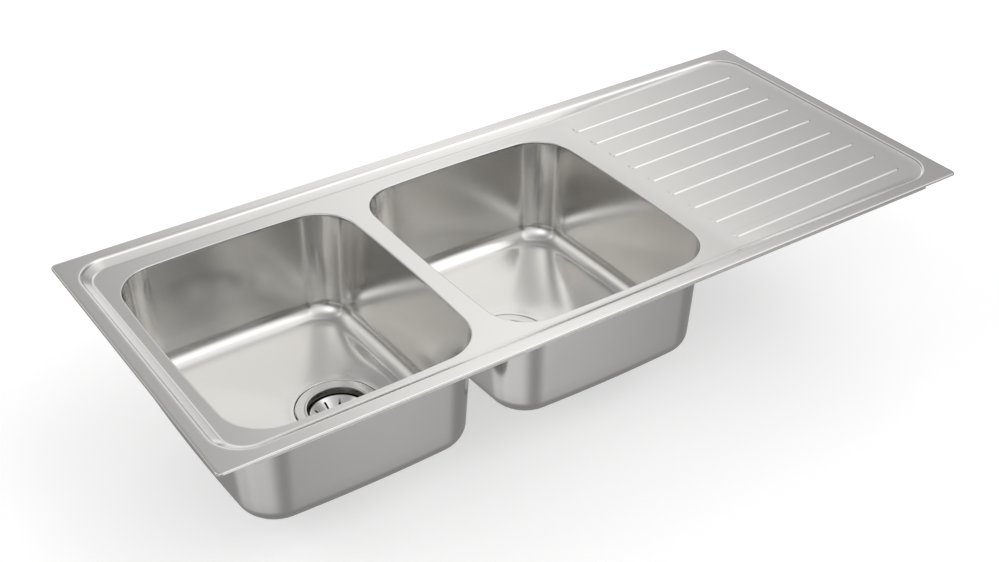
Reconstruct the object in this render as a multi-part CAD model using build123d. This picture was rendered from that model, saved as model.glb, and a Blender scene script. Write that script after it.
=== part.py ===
"""Inset kitchen sink: a pressed steel top with a ribbed drainer and two deep-drawn bowls welded under it.

Everything is in millimetres. +X runs along the sink towards the drainer, +Y towards the wall and +Z up.
The origin is the centre of the plane on which the rim sits, the top of the worktop.
Each bowl has a basket strainer waste: a steel dish with a lift-out basket, clamped by one screw to a
plastic body under the bowl.
"""
import os
from math import atan2, cos, degrees, hypot, radians, sqrt, tan

from build123d import *

# ---------------------------------------------------------------- driving dimensions

# pressed top
SINK_LENGTH = 1160.0
SINK_WIDTH = 500.0
SHEET = 1.0
RIM_HEIGHT = 3.0
RIM_CORNER = 8.0
RIM_EDGE_ROUND = 2.2

# recess inside the rim, measured inwards from the outer edge and down from the rim's top
RIM_WIDTH = 20.0
RECESS_CORNER = 46.0
RECESS_STEP_RUN = 2.0
RECESS_STEP_DROP = 3.0
RECESS_SLOPE_RUN = 12.0
RECESS_DEPTH = 9.0
RECESS_EDGE_ROUND = 6.0
RECESS_FOOT_ROUND = 8.0

# bowls, placed from the left end by the ledges between them and the foot of the recess
LEFT_LEDGE = 16.0
FRONT_LEDGE = 10.0
REAR_LEDGE = 24.0
BOWL_LENGTH = 339.0
DIVIDER_WIDTH = 28.0
BOWL_CORNER = 62.0
BOWL_SIDE_BOW = 5.6
BOWL_DEPTH = 170.0
BOWL_DRAFT = 10.8
BOWL_FLOOR_ROUND = 27.0
BOWL_EDGE_ROUND = 1.6
FLOOR_PITCH = 6.0
NECK_DROP = 5.0

# drainer: a plane that rises from the right bowl's ledge to the right end, with long raised ribs
DRAINER_LEDGE = 19.0
DRAINER_END_INSET = 30.0
DRAINER_RISE = 7.0
RIB_COUNT = 9
RIB_WIDTH = 15.0
RIB_HEIGHT = 1.4
RIB_CORNER = 5.0
RIB_SIDE_SLOPE = 35.0
RIB_START_MARGIN = 18.0
RIB_END_MARGIN = 23.0
RIB_FRONT_MARGIN = 22.0
RIB_REAR_MARGIN = 35.0

# waste: where it stands in the bowl, the hole and its sunk seat
WASTE_TOWARDS_DIVIDER = 47.0
WASTE_FORWARD = 13.0
WASTE_HOLE_RADIUS = 45.0
WASTE_SEAT_RADIUS = 58.5
WASTE_SEAT_DEPTH = 2.3
WASTE_APRON = 6.0

# steel dish of the waste
DISH_SHEET = 0.8
DISH_FLANGE_RADIUS = 57.3
DISH_FLANGE_LIFT = 0.3
DISH_FLANGE_DISHING = 0.8
DISH_BEAD_WIDTH = 3.4
DISH_BORE_RADIUS = 41.6
DISH_WALL_DROP = 14.0
DISH_SEAT_RADIUS = 37.0
DISH_SEAT_DROP = 22.0
DISH_DEPTH = 36.0
DISH_FLOOR_ROUND = 4.0
DISH_SLOT_COUNT = 6
DISH_SLOT_INNER = 15.0
DISH_SLOT_OUTER = 29.0
DISH_SLOT_WEB = 7.0

# gaskets
FLANGE_GASKET_THICKNESS = 1.0
BODY_GASKET_THICKNESS = 2.0
GASKET_INNER_RADIUS = 46.5
FLANGE_GASKET_OUTER_RADIUS = 56.5
BODY_GASKET_OUTER_RADIUS = 55.0

# plastic waste body under the bowl
BODY_COLLAR_RADIUS = 56.0
BODY_COLLAR_THICKNESS = 5.0
BODY_BORE_RADIUS = 44.6
BODY_WALL = 2.6
BODY_CUP_DEPTH = 34.0
BODY_FUNNEL_DEPTH = 11.0
BODY_COLLAR_RIB_COUNT = 8
OUTLET_RADIUS = 23.9
OUTLET_BORE_RADIUS = 20.4
OUTLET_LENGTH = 24.0
OUTLET_SHOULDER_RADIUS = 28.0
OUTLET_SHOULDER_LENGTH = 6.0
BOSS_RADIUS = 7.5
BOSS_LENGTH = 23.0
BOSS_ARM_COUNT = 3
BOSS_ARM_THICKNESS = 3.2

# clamping screw and its threaded insert
SCREW_RADIUS = 3.0
SCREW_HEAD_RADIUS = 6.0
SCREW_HEAD_HEIGHT = 3.5
SCREW_LENGTH = 22.0
SCREW_SLOT_WIDTH = 1.4
SCREW_SLOT_DEPTH = 1.5
SCREW_CLEARANCE = 0.3
INSERT_RADIUS = 4.6
INSERT_LENGTH = 10.0
INSERT_DEPTH = 9.0
INSERT_CLEARANCE = 0.05

# lift-out basket
BASKET_SHEET = 0.6
BASKET_RIM_RADIUS = 39.5
BASKET_RIM_DROP = 10.0
BASKET_BEAD_RADIUS = 0.9
BASKET_BEAD_SIDES = 8
BASKET_FLOOR_RADIUS = 20.0
BASKET_DEPTH = 13.5
BASKET_SLOT_COUNT = 10
BASKET_SLOT_WIDTH = 3.0
BASKET_SLOT_INNER = 18.5
BASKET_SLOT_OUTER = 34.5
BASKET_SLOT_FIRST_ANGLE = 24.0
BASKET_SEAL_OVERHANG = 1.2
BASKET_SEAL_HEIGHT = 1.5
BASKET_SEAL_FIT = 0.05
KNOB_RADIUS = 9.0
KNOB_HEIGHT = 18.0
KNOB_CAP_HEIGHT = 7.0
KNOB_NECK_RADIUS = 5.0
KNOB_BEVEL = 2.5
STEM_RADIUS = 3.0
STEM_FOOT_RADIUS = 7.0
STEM_REACH_INTO_KNOB = 10.0
STEM_HOLE_CLEARANCE = 0.1
BASKET_REST_GAP = 0.2

# fixing rails, folded channels spot-welded under the rim for the worktop clips
RAIL_FROM_RECESS = 4.0
RAIL_WIDTH = 6.0
RAIL_SHEET = 0.8
RAIL_REACH = 15.5
RAIL_SLOT = 2.4
LONG_RAIL_END_GAP = 50.0
SHORT_RAIL_END_GAP = 60.0

# foam seal stuck under the rim, between the round of its lip and the rails
SEAL_FROM_RAIL = 0.8

# sound-deadening pads
PAD_THICKNESS = 2.0
BOWL_PAD_FROM_WALL_FOOT = 6.0
BOWL_PAD_FROM_CORNERS = 51.0
BOWL_PAD_FROM_WASTE = 18.0
DRAINER_PAD_FROM_RIB_ENDS = 35.0
DRAINER_PAD_FROM_OUTER_RIBS = 37.0

# earth-bonding tag behind the right bowl
TAG_WIDTH = 14.0
TAG_FOOT = 12.0
TAG_DROP = 15.0
TAG_SHEET = 1.0
TAG_HOLE_DROP = 9.0
TAG_SCREW_RADIUS = 2.0
TAG_SCREW_LENGTH = 9.0
TAG_HEAD_RADIUS = 3.8
TAG_HEAD_HEIGHT = 2.6
TAG_NUT_ACROSS_FLATS = 7.0
TAG_NUT_HEIGHT = 3.2
TAG_HOLE_CLEARANCE = 0.1

# ---------------------------------------------------------------- levels and places that follow

OVERCUT = 5.0
LEVEL_MATCH = 0.01

RIM_TOP = RIM_HEIGHT
DECK_LEVEL = RIM_TOP - RECESS_DEPTH
SEAM_LEVEL = DECK_LEVEL - NECK_DROP
FLOOR_LEVEL = RIM_TOP - BOWL_DEPTH
WASTE_LEVEL = FLOOR_LEVEL - FLOOR_PITCH
HALF_LENGTH = SINK_LENGTH / 2
HALF_WIDTH = SINK_WIDTH / 2
FOOT_INSET = RIM_WIDTH + RECESS_STEP_RUN + RECESS_SLOPE_RUN
WALL_ANGLE = degrees(atan2(BOWL_DRAFT, BOWL_DEPTH - RECESS_DEPTH))

# the bowls fill the recess from front to rear and follow each other from the left
BOWL_WIDTH = SINK_WIDTH - 2 * FOOT_INSET - FRONT_LEDGE - REAR_LEDGE
BOWL_CENTRE_Y = (FRONT_LEDGE - REAR_LEDGE) / 2
LEFT_BOWL_CENTRE = FOOT_INSET + LEFT_LEDGE + BOWL_LENGTH / 2 - HALF_LENGTH
RIGHT_BOWL_CENTRE = LEFT_BOWL_CENTRE + BOWL_LENGTH + DIVIDER_WIDTH

# the drainer has what is left of the length, and the ribs share its width
DRAINER_START = RIGHT_BOWL_CENTRE + BOWL_LENGTH / 2 + DRAINER_LEDGE
DRAINER_END = HALF_LENGTH - DRAINER_END_INSET
DRAINER_ANGLE = degrees(atan2(DRAINER_RISE, DRAINER_END - DRAINER_START))
RIB_START = DRAINER_START + RIB_START_MARGIN
RIB_LENGTH = HALF_LENGTH - FOOT_INSET - RIB_END_MARGIN - RIB_START
RIB_ROW_WIDTH = SINK_WIDTH - 2 * FOOT_INSET - RIB_FRONT_MARGIN - RIB_REAR_MARGIN
RIB_ROW_CENTRE = (RIB_FRONT_MARGIN - RIB_REAR_MARGIN) / 2
RIB_PITCH = (RIB_ROW_WIDTH - RIB_WIDTH) / (RIB_COUNT - 1)

SIDES = {"left": (LEFT_BOWL_CENTRE, 1), "right": (RIGHT_BOWL_CENTRE, -1)}


def waste_centre(side):
    """Centre of a bowl's waste, which stands nearer the divider and a little forward."""
    centre, towards_divider = SIDES[side]
    return centre + towards_divider * WASTE_TOWARDS_DIVIDER, BOWL_CENTRE_Y - WASTE_FORWARD


# ---------------------------------------------------------------- shared shapes

def revolved(points):
    """Solid of revolution about Z from a closed outline of (radius, height) points."""
    outline = Polyline(*[(radius, 0, height) for radius, height in points], close=True)
    return revolve(make_face(outline), axis=Axis.Z)


def cylinder(radius, bottom, top, x=0.0, y=0.0):
    """Upright cylinder between two levels."""
    disc = Plane.XY.offset(bottom) * Pos(x, y) * Circle(radius)
    return extrude(disc, amount=top - bottom)


def tube(outer, inner, bottom, top):
    """Upright ring between two levels."""
    ring = Plane.XY.offset(bottom) * (Circle(outer) - Circle(inner))
    return extrude(ring, amount=top - bottom)


def box(low, high):
    """Box between two corners."""
    size = [b - a for a, b in zip(low, high)]
    centre = [(a + b) / 2 for a, b in zip(low, high)]
    return Pos(*centre) * Box(*size)


def level_edges(solid, level, centre_x, centre_y, length, width):
    """Edges of a solid that lie at one level and inside a rectangle in plan."""
    found = []
    for edge in solid.edges():
        low, high = edge.bounding_box().min, edge.bounding_box().max
        level_gap = max(abs(low.Z - level), abs(high.Z - level))
        reach_x = max(abs(low.X - centre_x), abs(high.X - centre_x))
        reach_y = max(abs(low.Y - centre_y), abs(high.Y - centre_y))
        if level_gap < LEVEL_MATCH and reach_x < length / 2 and reach_y < width / 2:
            found.append(edge)
    return found


def inset_outline(inset, level):
    """Rounded rectangle at a given distance inside the sink's outer edge."""
    corner = RECESS_CORNER + RIM_WIDTH - inset
    shape = RectangleRounded(SINK_LENGTH - 2 * inset, SINK_WIDTH - 2 * inset, corner)
    return Plane.XY.offset(level) * shape


def offset_profile(points, distance):
    """Moves a line of (inset, level) points square to itself, outwards and down."""
    moved = []
    for index, (inset, level) in enumerate(points):
        normals = []
        for first, second in ((index - 1, index), (index, index + 1)):
            if first < 0 or second >= len(points):
                continue
            run = points[second][0] - points[first][0]
            drop = points[second][1] - points[first][1]
            length = hypot(run, drop)
            normals.append((drop / length, -run / length))
        mean = [sum(part) / len(normals) for part in zip(*normals)]
        scale = distance / (mean[0] ** 2 + mean[1] ** 2)
        moved.append((inset + mean[0] * scale, level + mean[1] * scale))
    return moved


def bowed_outline(length, width, corner):
    """Rounded rectangle whose four sides are shallow arcs, as a drawn bowl's mouth has."""
    far_x, far_y = length / 2, width / 2
    near_x, near_y = far_x - BOWL_SIDE_BOW, far_y - BOWL_SIDE_BOW
    sides = [
        ThreePointArc((near_x, near_y), (far_x, 0), (near_x, -near_y)),
        ThreePointArc((near_x, -near_y), (0, -far_y), (-near_x, -near_y)),
        ThreePointArc((-near_x, -near_y), (-far_x, 0), (-near_x, near_y)),
        ThreePointArc((-near_x, near_y), (0, far_y), (near_x, near_y)),
    ]
    return fillet(make_face(sides).vertices(), corner)


def rectangle_corners(x, y, half_x, half_y, level):
    """The four corners of a level rectangle about a point, in order."""
    signs = ((1, 1), (-1, 1), (-1, -1), (1, -1))
    return [(x + sign_x * half_x, y + sign_y * half_y, level) for sign_x, sign_y in signs]


def block_between(top, foot):
    """Block between two level rectangles, with four flat sloping sides."""
    rings = [top, foot]
    for index in range(4):
        after = (index + 1) % 4
        rings.append([top[index], top[after], foot[after], foot[index]])
    return Solid(Shell([make_face(Polyline(*ring, close=True)) for ring in rings]))


# ---------------------------------------------------------------- bowls

def drawn_bowl(grow):
    """The space inside a bowl about its own centre, from z = 0 down: drafted walls and a round foot."""
    depth = DECK_LEVEL - FLOOR_LEVEL + grow
    mouth = bowed_outline(BOWL_LENGTH + 2 * grow, BOWL_WIDTH + 2 * grow, BOWL_CORNER + grow)
    space = extrude(mouth, amount=depth, dir=(0, 0, -1), taper=WALL_ANGLE)
    space = fillet(space.faces().sort_by(Axis.Z)[0].edges(), BOWL_FLOOR_ROUND + grow)
    # a quarter of it is mirrored twice, so that the four corners are alike
    quarter = space & box((0, 0, -depth), (BOWL_LENGTH, BOWL_WIDTH, 0))
    half = quarter + mirror(quarter, Plane.YZ)
    return half + mirror(half, Plane.XZ)


def bowl_space(side, grow):
    """The space inside a bowl, from the deck down, grown on all sides by the given distance."""
    centre, _ = SIDES[side]
    waste_x, waste_y = waste_centre(side)
    floor = FLOOR_LEVEL - grow
    space = Pos(centre, BOWL_CENTRE_Y, DECK_LEVEL) * drawn_bowl(grow)

    # the floor falls in four flats from the foot of the walls to a level apron round the waste
    flat_inset = BOWL_DRAFT + BOWL_FLOOR_ROUND
    corner_cut = (BOWL_CORNER - flat_inset) * (1 - sqrt(0.5))
    half_x = BOWL_LENGTH / 2 - flat_inset - BOWL_SIDE_BOW - corner_cut
    half_y = BOWL_WIDTH / 2 - flat_inset - BOWL_SIDE_BOW - corner_cut
    apron = WASTE_SEAT_RADIUS + WASTE_APRON
    space += block_between(
        rectangle_corners(centre, BOWL_CENTRE_Y, half_x, half_y, floor),
        rectangle_corners(waste_x, waste_y, apron, apron, floor - FLOOR_PITCH),
    )
    seat_floor = floor - FLOOR_PITCH - WASTE_SEAT_DEPTH
    space += cylinder(WASTE_SEAT_RADIUS + grow, seat_floor, floor, waste_x, waste_y)
    return space


def make_bowl(side):
    """A bowl: deep-drawn sheet from the weld seam down, with the waste's sunk seat and hole."""
    waste_x, waste_y = waste_centre(side)
    shell = bowl_space(side, SHEET) - bowl_space(side, 0)
    hole_floor = WASTE_LEVEL - WASTE_SEAT_DEPTH - SHEET - OVERCUT
    shell -= cylinder(WASTE_HOLE_RADIUS, hole_floor, WASTE_LEVEL, waste_x, waste_y)
    above_seam = box((-HALF_LENGTH, -HALF_WIDTH, SEAM_LEVEL), (HALF_LENGTH, HALF_WIDTH, RIM_TOP))
    return shell - above_seam


def make_bowl_pad(side):
    """Sound-deadening pad stuck under the bowl's floor, on the side away from the waste."""
    centre, towards_divider = SIDES[side]
    wall_foot = BOWL_DRAFT + BOWL_FLOOR_ROUND + BOWL_PAD_FROM_WALL_FOOT
    outer_x = BOWL_LENGTH / 2 - wall_foot
    inner_x = WASTE_SEAT_RADIUS + BOWL_PAD_FROM_WASTE - WASTE_TOWARDS_DIVIDER
    half_y = BOWL_WIDTH / 2 - BOWL_DRAFT - BOWL_FLOOR_ROUND - BOWL_PAD_FROM_CORNERS
    edges = sorted(centre - towards_divider * distance for distance in (outer_x, inner_x))
    patch = box(
        (edges[0], BOWL_CENTRE_Y - half_y, WASTE_LEVEL - SHEET - OVERCUT),
        (edges[1], BOWL_CENTRE_Y + half_y, FLOOR_LEVEL),
    )
    return (bowl_space(side, SHEET + PAD_THICKNESS) & patch) - bowl_space(side, SHEET)


# ---------------------------------------------------------------- pressed top

def drainer_level(x):
    """Height of the drainer's upper face."""
    return DECK_LEVEL + max(0.0, x - DRAINER_START) * tan(radians(DRAINER_ANGLE))


def under_drainer(drop):
    """Everything below the drainer's plane, lowered by the given drop."""
    end = HALF_LENGTH
    profile = Polyline(
        (DRAINER_START, 0, DECK_LEVEL - drop),
        (end, 0, drainer_level(end) - drop),
        (end, 0, DECK_LEVEL - RECESS_DEPTH),
        (DRAINER_START, 0, DECK_LEVEL - RECESS_DEPTH),
        close=True,
    )
    return extrude(make_face(profile), amount=HALF_WIDTH, both=True)


def pan(profile, foot_round, drainer_drop):
    """The recess as a solid of tapered bands, with a round foot and the drainer's slope."""
    bands = []
    for (inset, level), (next_inset, next_level) in zip(profile[:-1], profile[1:]):
        drop = level - next_level
        angle = degrees(atan2(next_inset - inset, drop))
        bands.append(extrude(inset_outline(inset, level), amount=drop, dir=(0, 0, -1), taper=angle))
    solid = sum(bands[1:], bands[0])
    solid = fillet(solid.faces().sort_by(Axis.Z)[0].edges(), foot_round)
    return solid - under_drainer(drainer_drop)


def rib(side_gap, drop):
    """One raised rib on the drainer's plane, shrunk on each side and lowered by the given amounts."""
    shape = RectangleRounded(
        RIB_LENGTH - 2 * side_gap,
        RIB_WIDTH - 2 * side_gap,
        RIB_CORNER - side_gap,
    )
    raised = extrude(Plane.XY.offset(-OVERCUT) * shape, amount=OVERCUT)
    raised += extrude(shape, amount=RIB_HEIGHT, taper=RIB_SIDE_SLOPE)
    return Pos(0, 0, -drop) * raised


def rib_places():
    """Places the ribs side by side on the drainer's plane."""
    middle = RIB_START + RIB_LENGTH / 2
    tilt = Rot(0, -DRAINER_ANGLE, 0)
    first = RIB_ROW_CENTRE - RIB_PITCH * (RIB_COUNT - 1) / 2
    return [
        Pos(middle, first + RIB_PITCH * index, drainer_level(middle)) * tilt
        for index in range(RIB_COUNT)
    ]


def make_tray():
    """The pressed sheet before its bowls and ribs: the lipped rim and the stepped recess."""
    rim = Plane.XY * RectangleRounded(SINK_LENGTH, SINK_WIDTH, RIM_CORNER)
    rim = extrude(rim, amount=RIM_HEIGHT)
    rim = fillet(rim.faces().sort_by(Axis.Z)[-1].edges(), RIM_EDGE_ROUND)
    hollow = Plane.XY.offset(-OVERCUT) * RectangleRounded(
        SINK_LENGTH - 2 * SHEET,
        SINK_WIDTH - 2 * SHEET,
        RIM_CORNER - SHEET,
    )
    hollow = extrude(hollow, amount=OVERCUT + RIM_HEIGHT - SHEET)
    hollow = fillet(hollow.faces().sort_by(Axis.Z)[-1].edges(), RIM_EDGE_ROUND - SHEET)

    step_inset = RIM_WIDTH + RECESS_STEP_RUN
    upper = [
        (RIM_WIDTH, RIM_TOP),
        (step_inset, RIM_TOP - RECESS_STEP_DROP),
        (FOOT_INSET, DECK_LEVEL),
    ]
    # the flat ends are added so that the rim and the floor keep the sheet's thickness too
    line = [(0.0, RIM_TOP)] + upper + [(FOOT_INSET + RIM_WIDTH, DECK_LEVEL)]
    lower = offset_profile(line, SHEET)[1:-1]
    upper_pan = pan(upper, RECESS_FOOT_ROUND, 0)
    lower_pan = pan(lower, RECESS_FOOT_ROUND + SHEET, SHEET / cos(radians(DRAINER_ANGLE)))
    tray = (rim - hollow) + lower_pan - upper_pan

    inside = (0, 0, SINK_LENGTH - RIM_WIDTH, SINK_WIDTH - RIM_WIDTH)
    tray = fillet(level_edges(tray, RIM_TOP, *inside), RECESS_EDGE_ROUND)
    return fillet(level_edges(tray, RIM_TOP - SHEET, *inside), RECESS_EDGE_ROUND - SHEET)


def make_deck():
    """The pressed top: the tray with its ribbed drainer and a necked hole for each bowl."""
    deck = make_tray()
    above_sheet = box((-RIB_LENGTH, -RIB_WIDTH, -SHEET / 2), (RIB_LENGTH, RIB_WIDTH, OVERCUT))
    for place in rib_places():
        deck += place * (rib(0, 0) & above_sheet)
    for place in rib_places():
        deck -= place * rib(SHEET, SHEET)

    above_seam = box((-HALF_LENGTH, -HALF_WIDTH, SEAM_LEVEL), (HALF_LENGTH, HALF_WIDTH, DECK_LEVEL))
    for side, (centre, _) in SIDES.items():
        deck += bowl_space(side, SHEET) & above_seam
        deck -= bowl_space(side, 0)
        mouth = (centre, BOWL_CENTRE_Y, BOWL_LENGTH + SHEET, BOWL_WIDTH + SHEET)
        deck = fillet(level_edges(deck, DECK_LEVEL, *mouth), BOWL_EDGE_ROUND)
    return deck


# ---------------------------------------------------------------- rails, seal, pad and tag

def rail(length):
    """Folded channel with an open slot below, along X, hanging from the level z = 0."""
    half, reach = RAIL_WIDTH / 2, RAIL_REACH - SHEET
    inner, slot = half - RAIL_SHEET, RAIL_SLOT / 2
    profile = Polyline(
        (-half, 0),
        (half, 0),
        (half, -reach),
        (slot, -reach),
        (slot, -reach + RAIL_SHEET),
        (inner, -reach + RAIL_SHEET),
        (inner, -RAIL_SHEET),
        (-inner, -RAIL_SHEET),
        (-inner, -reach + RAIL_SHEET),
        (-slot, -reach + RAIL_SHEET),
        (-slot, -reach),
        (-half, -reach),
        close=True,
    )
    return extrude(Plane.YZ * make_face(profile), amount=length / 2, both=True)


def make_rails():
    """The four rails, one under each side of the rim."""
    under_rim = RIM_TOP - SHEET
    line_x = HALF_LENGTH - RIM_WIDTH + RAIL_FROM_RECESS + RAIL_WIDTH / 2
    line_y = HALF_WIDTH - RIM_WIDTH + RAIL_FROM_RECESS + RAIL_WIDTH / 2
    long_rail = rail(SINK_LENGTH - 2 * LONG_RAIL_END_GAP)
    short_rail = Rot(0, 0, 90) * rail(SINK_WIDTH - 2 * SHORT_RAIL_END_GAP)
    return {
        "front_clip_rail": Pos(0, -line_y, under_rim) * long_rail,
        "rear_clip_rail": Pos(0, line_y, under_rim) * long_rail,
        "left_clip_rail": Pos(-line_x, 0, under_rim) * short_rail,
        "right_clip_rail": Pos(line_x, 0, under_rim) * short_rail,
    }


def make_rim_seal():
    """Foam strip that fills the rim's hollow just inside the lip."""
    outer_length, outer_width = SINK_LENGTH - 2 * RIM_EDGE_ROUND, SINK_WIDTH - 2 * RIM_EDGE_ROUND
    width = RIM_WIDTH - RAIL_FROM_RECESS - RAIL_WIDTH - SEAL_FROM_RAIL - RIM_EDGE_ROUND
    corner = RIM_CORNER - RIM_EDGE_ROUND
    outer = RectangleRounded(outer_length, outer_width, corner)
    inner = RectangleRounded(outer_length - 2 * width, outer_width - 2 * width, corner)
    return extrude(outer - inner, amount=RIM_HEIGHT - SHEET)


def make_drainer_pad():
    """Sound-deadening pad stuck under the drainer, within the row of ribs."""
    middle = RIB_START + RIB_LENGTH / 2
    length = RIB_LENGTH - 2 * DRAINER_PAD_FROM_RIB_ENDS
    width = RIB_ROW_WIDTH - 2 * DRAINER_PAD_FROM_OUTER_RIBS
    place = Pos(middle, RIB_ROW_CENTRE, drainer_level(middle)) * Rot(0, -DRAINER_ANGLE, 0)
    return place * Pos(0, 0, -SHEET - PAD_THICKNESS / 2) * Box(length, width, PAD_THICKNESS)


def make_earth_parts():
    """Earth-bonding tag welded under the deck behind the right bowl, with its screw and nut."""
    deck_under = DECK_LEVEL - SHEET
    ledge_front = BOWL_CENTRE_Y + BOWL_WIDTH / 2 + SHEET
    ledge_back = HALF_WIDTH - FOOT_INSET
    back = (ledge_front + ledge_back + TAG_FOOT) / 2
    x_low, x_high = RIGHT_BOWL_CENTRE - TAG_WIDTH / 2, RIGHT_BOWL_CENTRE + TAG_WIDTH / 2
    foot = box((x_low, back - TAG_FOOT, deck_under - TAG_SHEET), (x_high, back, deck_under))
    leg = box((x_low, back - TAG_SHEET, deck_under - TAG_DROP), (x_high, back, deck_under))
    hole_level = deck_under - TAG_HOLE_DROP

    def along_y(radius, start, length):
        disc = Plane((RIGHT_BOWL_CENTRE, start, hole_level), z_dir=(0, -1, 0)) * Circle(radius)
        return extrude(disc, amount=length)

    tag = foot + leg - along_y(TAG_SCREW_RADIUS + TAG_HOLE_CLEARANCE, back + OVERCUT, 2 * OVERCUT)
    head = along_y(TAG_HEAD_RADIUS, back + TAG_HEAD_HEIGHT, TAG_HEAD_HEIGHT)
    screw = head + along_y(TAG_SCREW_RADIUS, back, TAG_SCREW_LENGTH)
    nut_plane = Plane((RIGHT_BOWL_CENTRE, back - TAG_SHEET, hole_level), z_dir=(0, -1, 0))
    hexagon = RegularPolygon(TAG_NUT_ACROSS_FLATS / 2, 6, major_radius=False)
    nut_face = nut_plane * (hexagon - Circle(TAG_SCREW_RADIUS + INSERT_CLEARANCE))
    nut = extrude(nut_face, amount=TAG_NUT_HEIGHT)
    return {"earth_tag": tag, "earth_screw": screw, "earth_nut": nut}


# ---------------------------------------------------------------- waste, drawn about its own axis
# Levels in this section count from the bowl's floor beside the waste.

SEAT_LEVEL = -WASTE_SEAT_DEPTH
GASKET_TOP = SEAT_LEVEL + FLANGE_GASKET_THICKNESS
BODY_TOP = SEAT_LEVEL - SHEET - BODY_GASKET_THICKNESS
DISH_FLOOR = -DISH_DEPTH
SCREW_HEAD_TOP = DISH_FLOOR + SCREW_HEAD_HEIGHT
BOSS_TOP = DISH_FLOOR - DISH_SHEET - SCREW_CLEARANCE
BASKET_FLOOR = -BASKET_RIM_DROP - BASKET_DEPTH


def make_dish():
    """Pressed dish: dished flange with a bead, bore, conical seat and slotted floor."""
    bead_outer = DISH_BORE_RADIUS + DISH_BEAD_WIDTH
    bead_crest = DISH_BORE_RADIUS + DISH_BEAD_WIDTH / 2
    flange_foot = DISH_FLANGE_LIFT - DISH_FLANGE_DISHING
    floor_radius = DISH_SEAT_RADIUS - DISH_FLOOR_ROUND
    upper = [
        (DISH_FLANGE_RADIUS, DISH_FLANGE_LIFT),
        (bead_outer, flange_foot),
        (bead_crest, DISH_FLANGE_LIFT),
        (DISH_BORE_RADIUS, -DISH_BEAD_WIDTH / 2),
        (DISH_BORE_RADIUS, -DISH_WALL_DROP),
        (DISH_SEAT_RADIUS, -DISH_SEAT_DROP),
        (DISH_SEAT_RADIUS, DISH_FLOOR + DISH_FLOOR_ROUND),
        (floor_radius, DISH_FLOOR),
        (0.0, DISH_FLOOR),
    ]
    under = [
        (0.0, DISH_FLOOR - DISH_SHEET),
        (floor_radius + DISH_SHEET / 2, DISH_FLOOR - DISH_SHEET),
        (DISH_SEAT_RADIUS + DISH_SHEET, DISH_FLOOR + DISH_FLOOR_ROUND - DISH_SHEET / 2),
        (DISH_SEAT_RADIUS + DISH_SHEET, -DISH_SEAT_DROP - DISH_SHEET / 2),
        (DISH_BORE_RADIUS + DISH_SHEET, -DISH_WALL_DROP - DISH_SHEET / 2),
        (DISH_BORE_RADIUS + DISH_SHEET, -DISH_BEAD_WIDTH / 2),
        (bead_crest, DISH_FLANGE_LIFT - DISH_SHEET),
        (bead_outer, flange_foot - DISH_SHEET),
        (DISH_FLANGE_RADIUS, DISH_FLANGE_LIFT - DISH_SHEET),
    ]
    dish = revolved(upper + under)
    slot_middle = (DISH_SLOT_INNER + DISH_SLOT_OUTER) / 2
    slots = tube(DISH_SLOT_OUTER, DISH_SLOT_INNER, DISH_FLOOR - OVERCUT, DISH_FLOOR + DISH_SHEET)
    for index in range(DISH_SLOT_COUNT):
        web = box(
            (0, -DISH_SLOT_WEB / 2, DISH_FLOOR - OVERCUT),
            (DISH_SLOT_OUTER + slot_middle, DISH_SLOT_WEB / 2, DISH_FLOOR + DISH_SHEET),
        )
        slots -= Rot(0, 0, 360 / DISH_SLOT_COUNT * index) * web
    screw_hole = cylinder(SCREW_RADIUS + SCREW_CLEARANCE, DISH_FLOOR - OVERCUT, DISH_FLOOR + DISH_SHEET)
    return dish - slots - screw_hole


def make_flange_gasket():
    """Flat rubber ring between the dish's flange and its seat in the bowl."""
    return tube(FLANGE_GASKET_OUTER_RADIUS, GASKET_INNER_RADIUS, SEAT_LEVEL, GASKET_TOP)


def make_body_gasket():
    """Thicker rubber ring between the bowl's underside and the plastic body."""
    return tube(BODY_GASKET_OUTER_RADIUS, GASKET_INNER_RADIUS, BODY_TOP, SEAT_LEVEL - SHEET)


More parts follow.
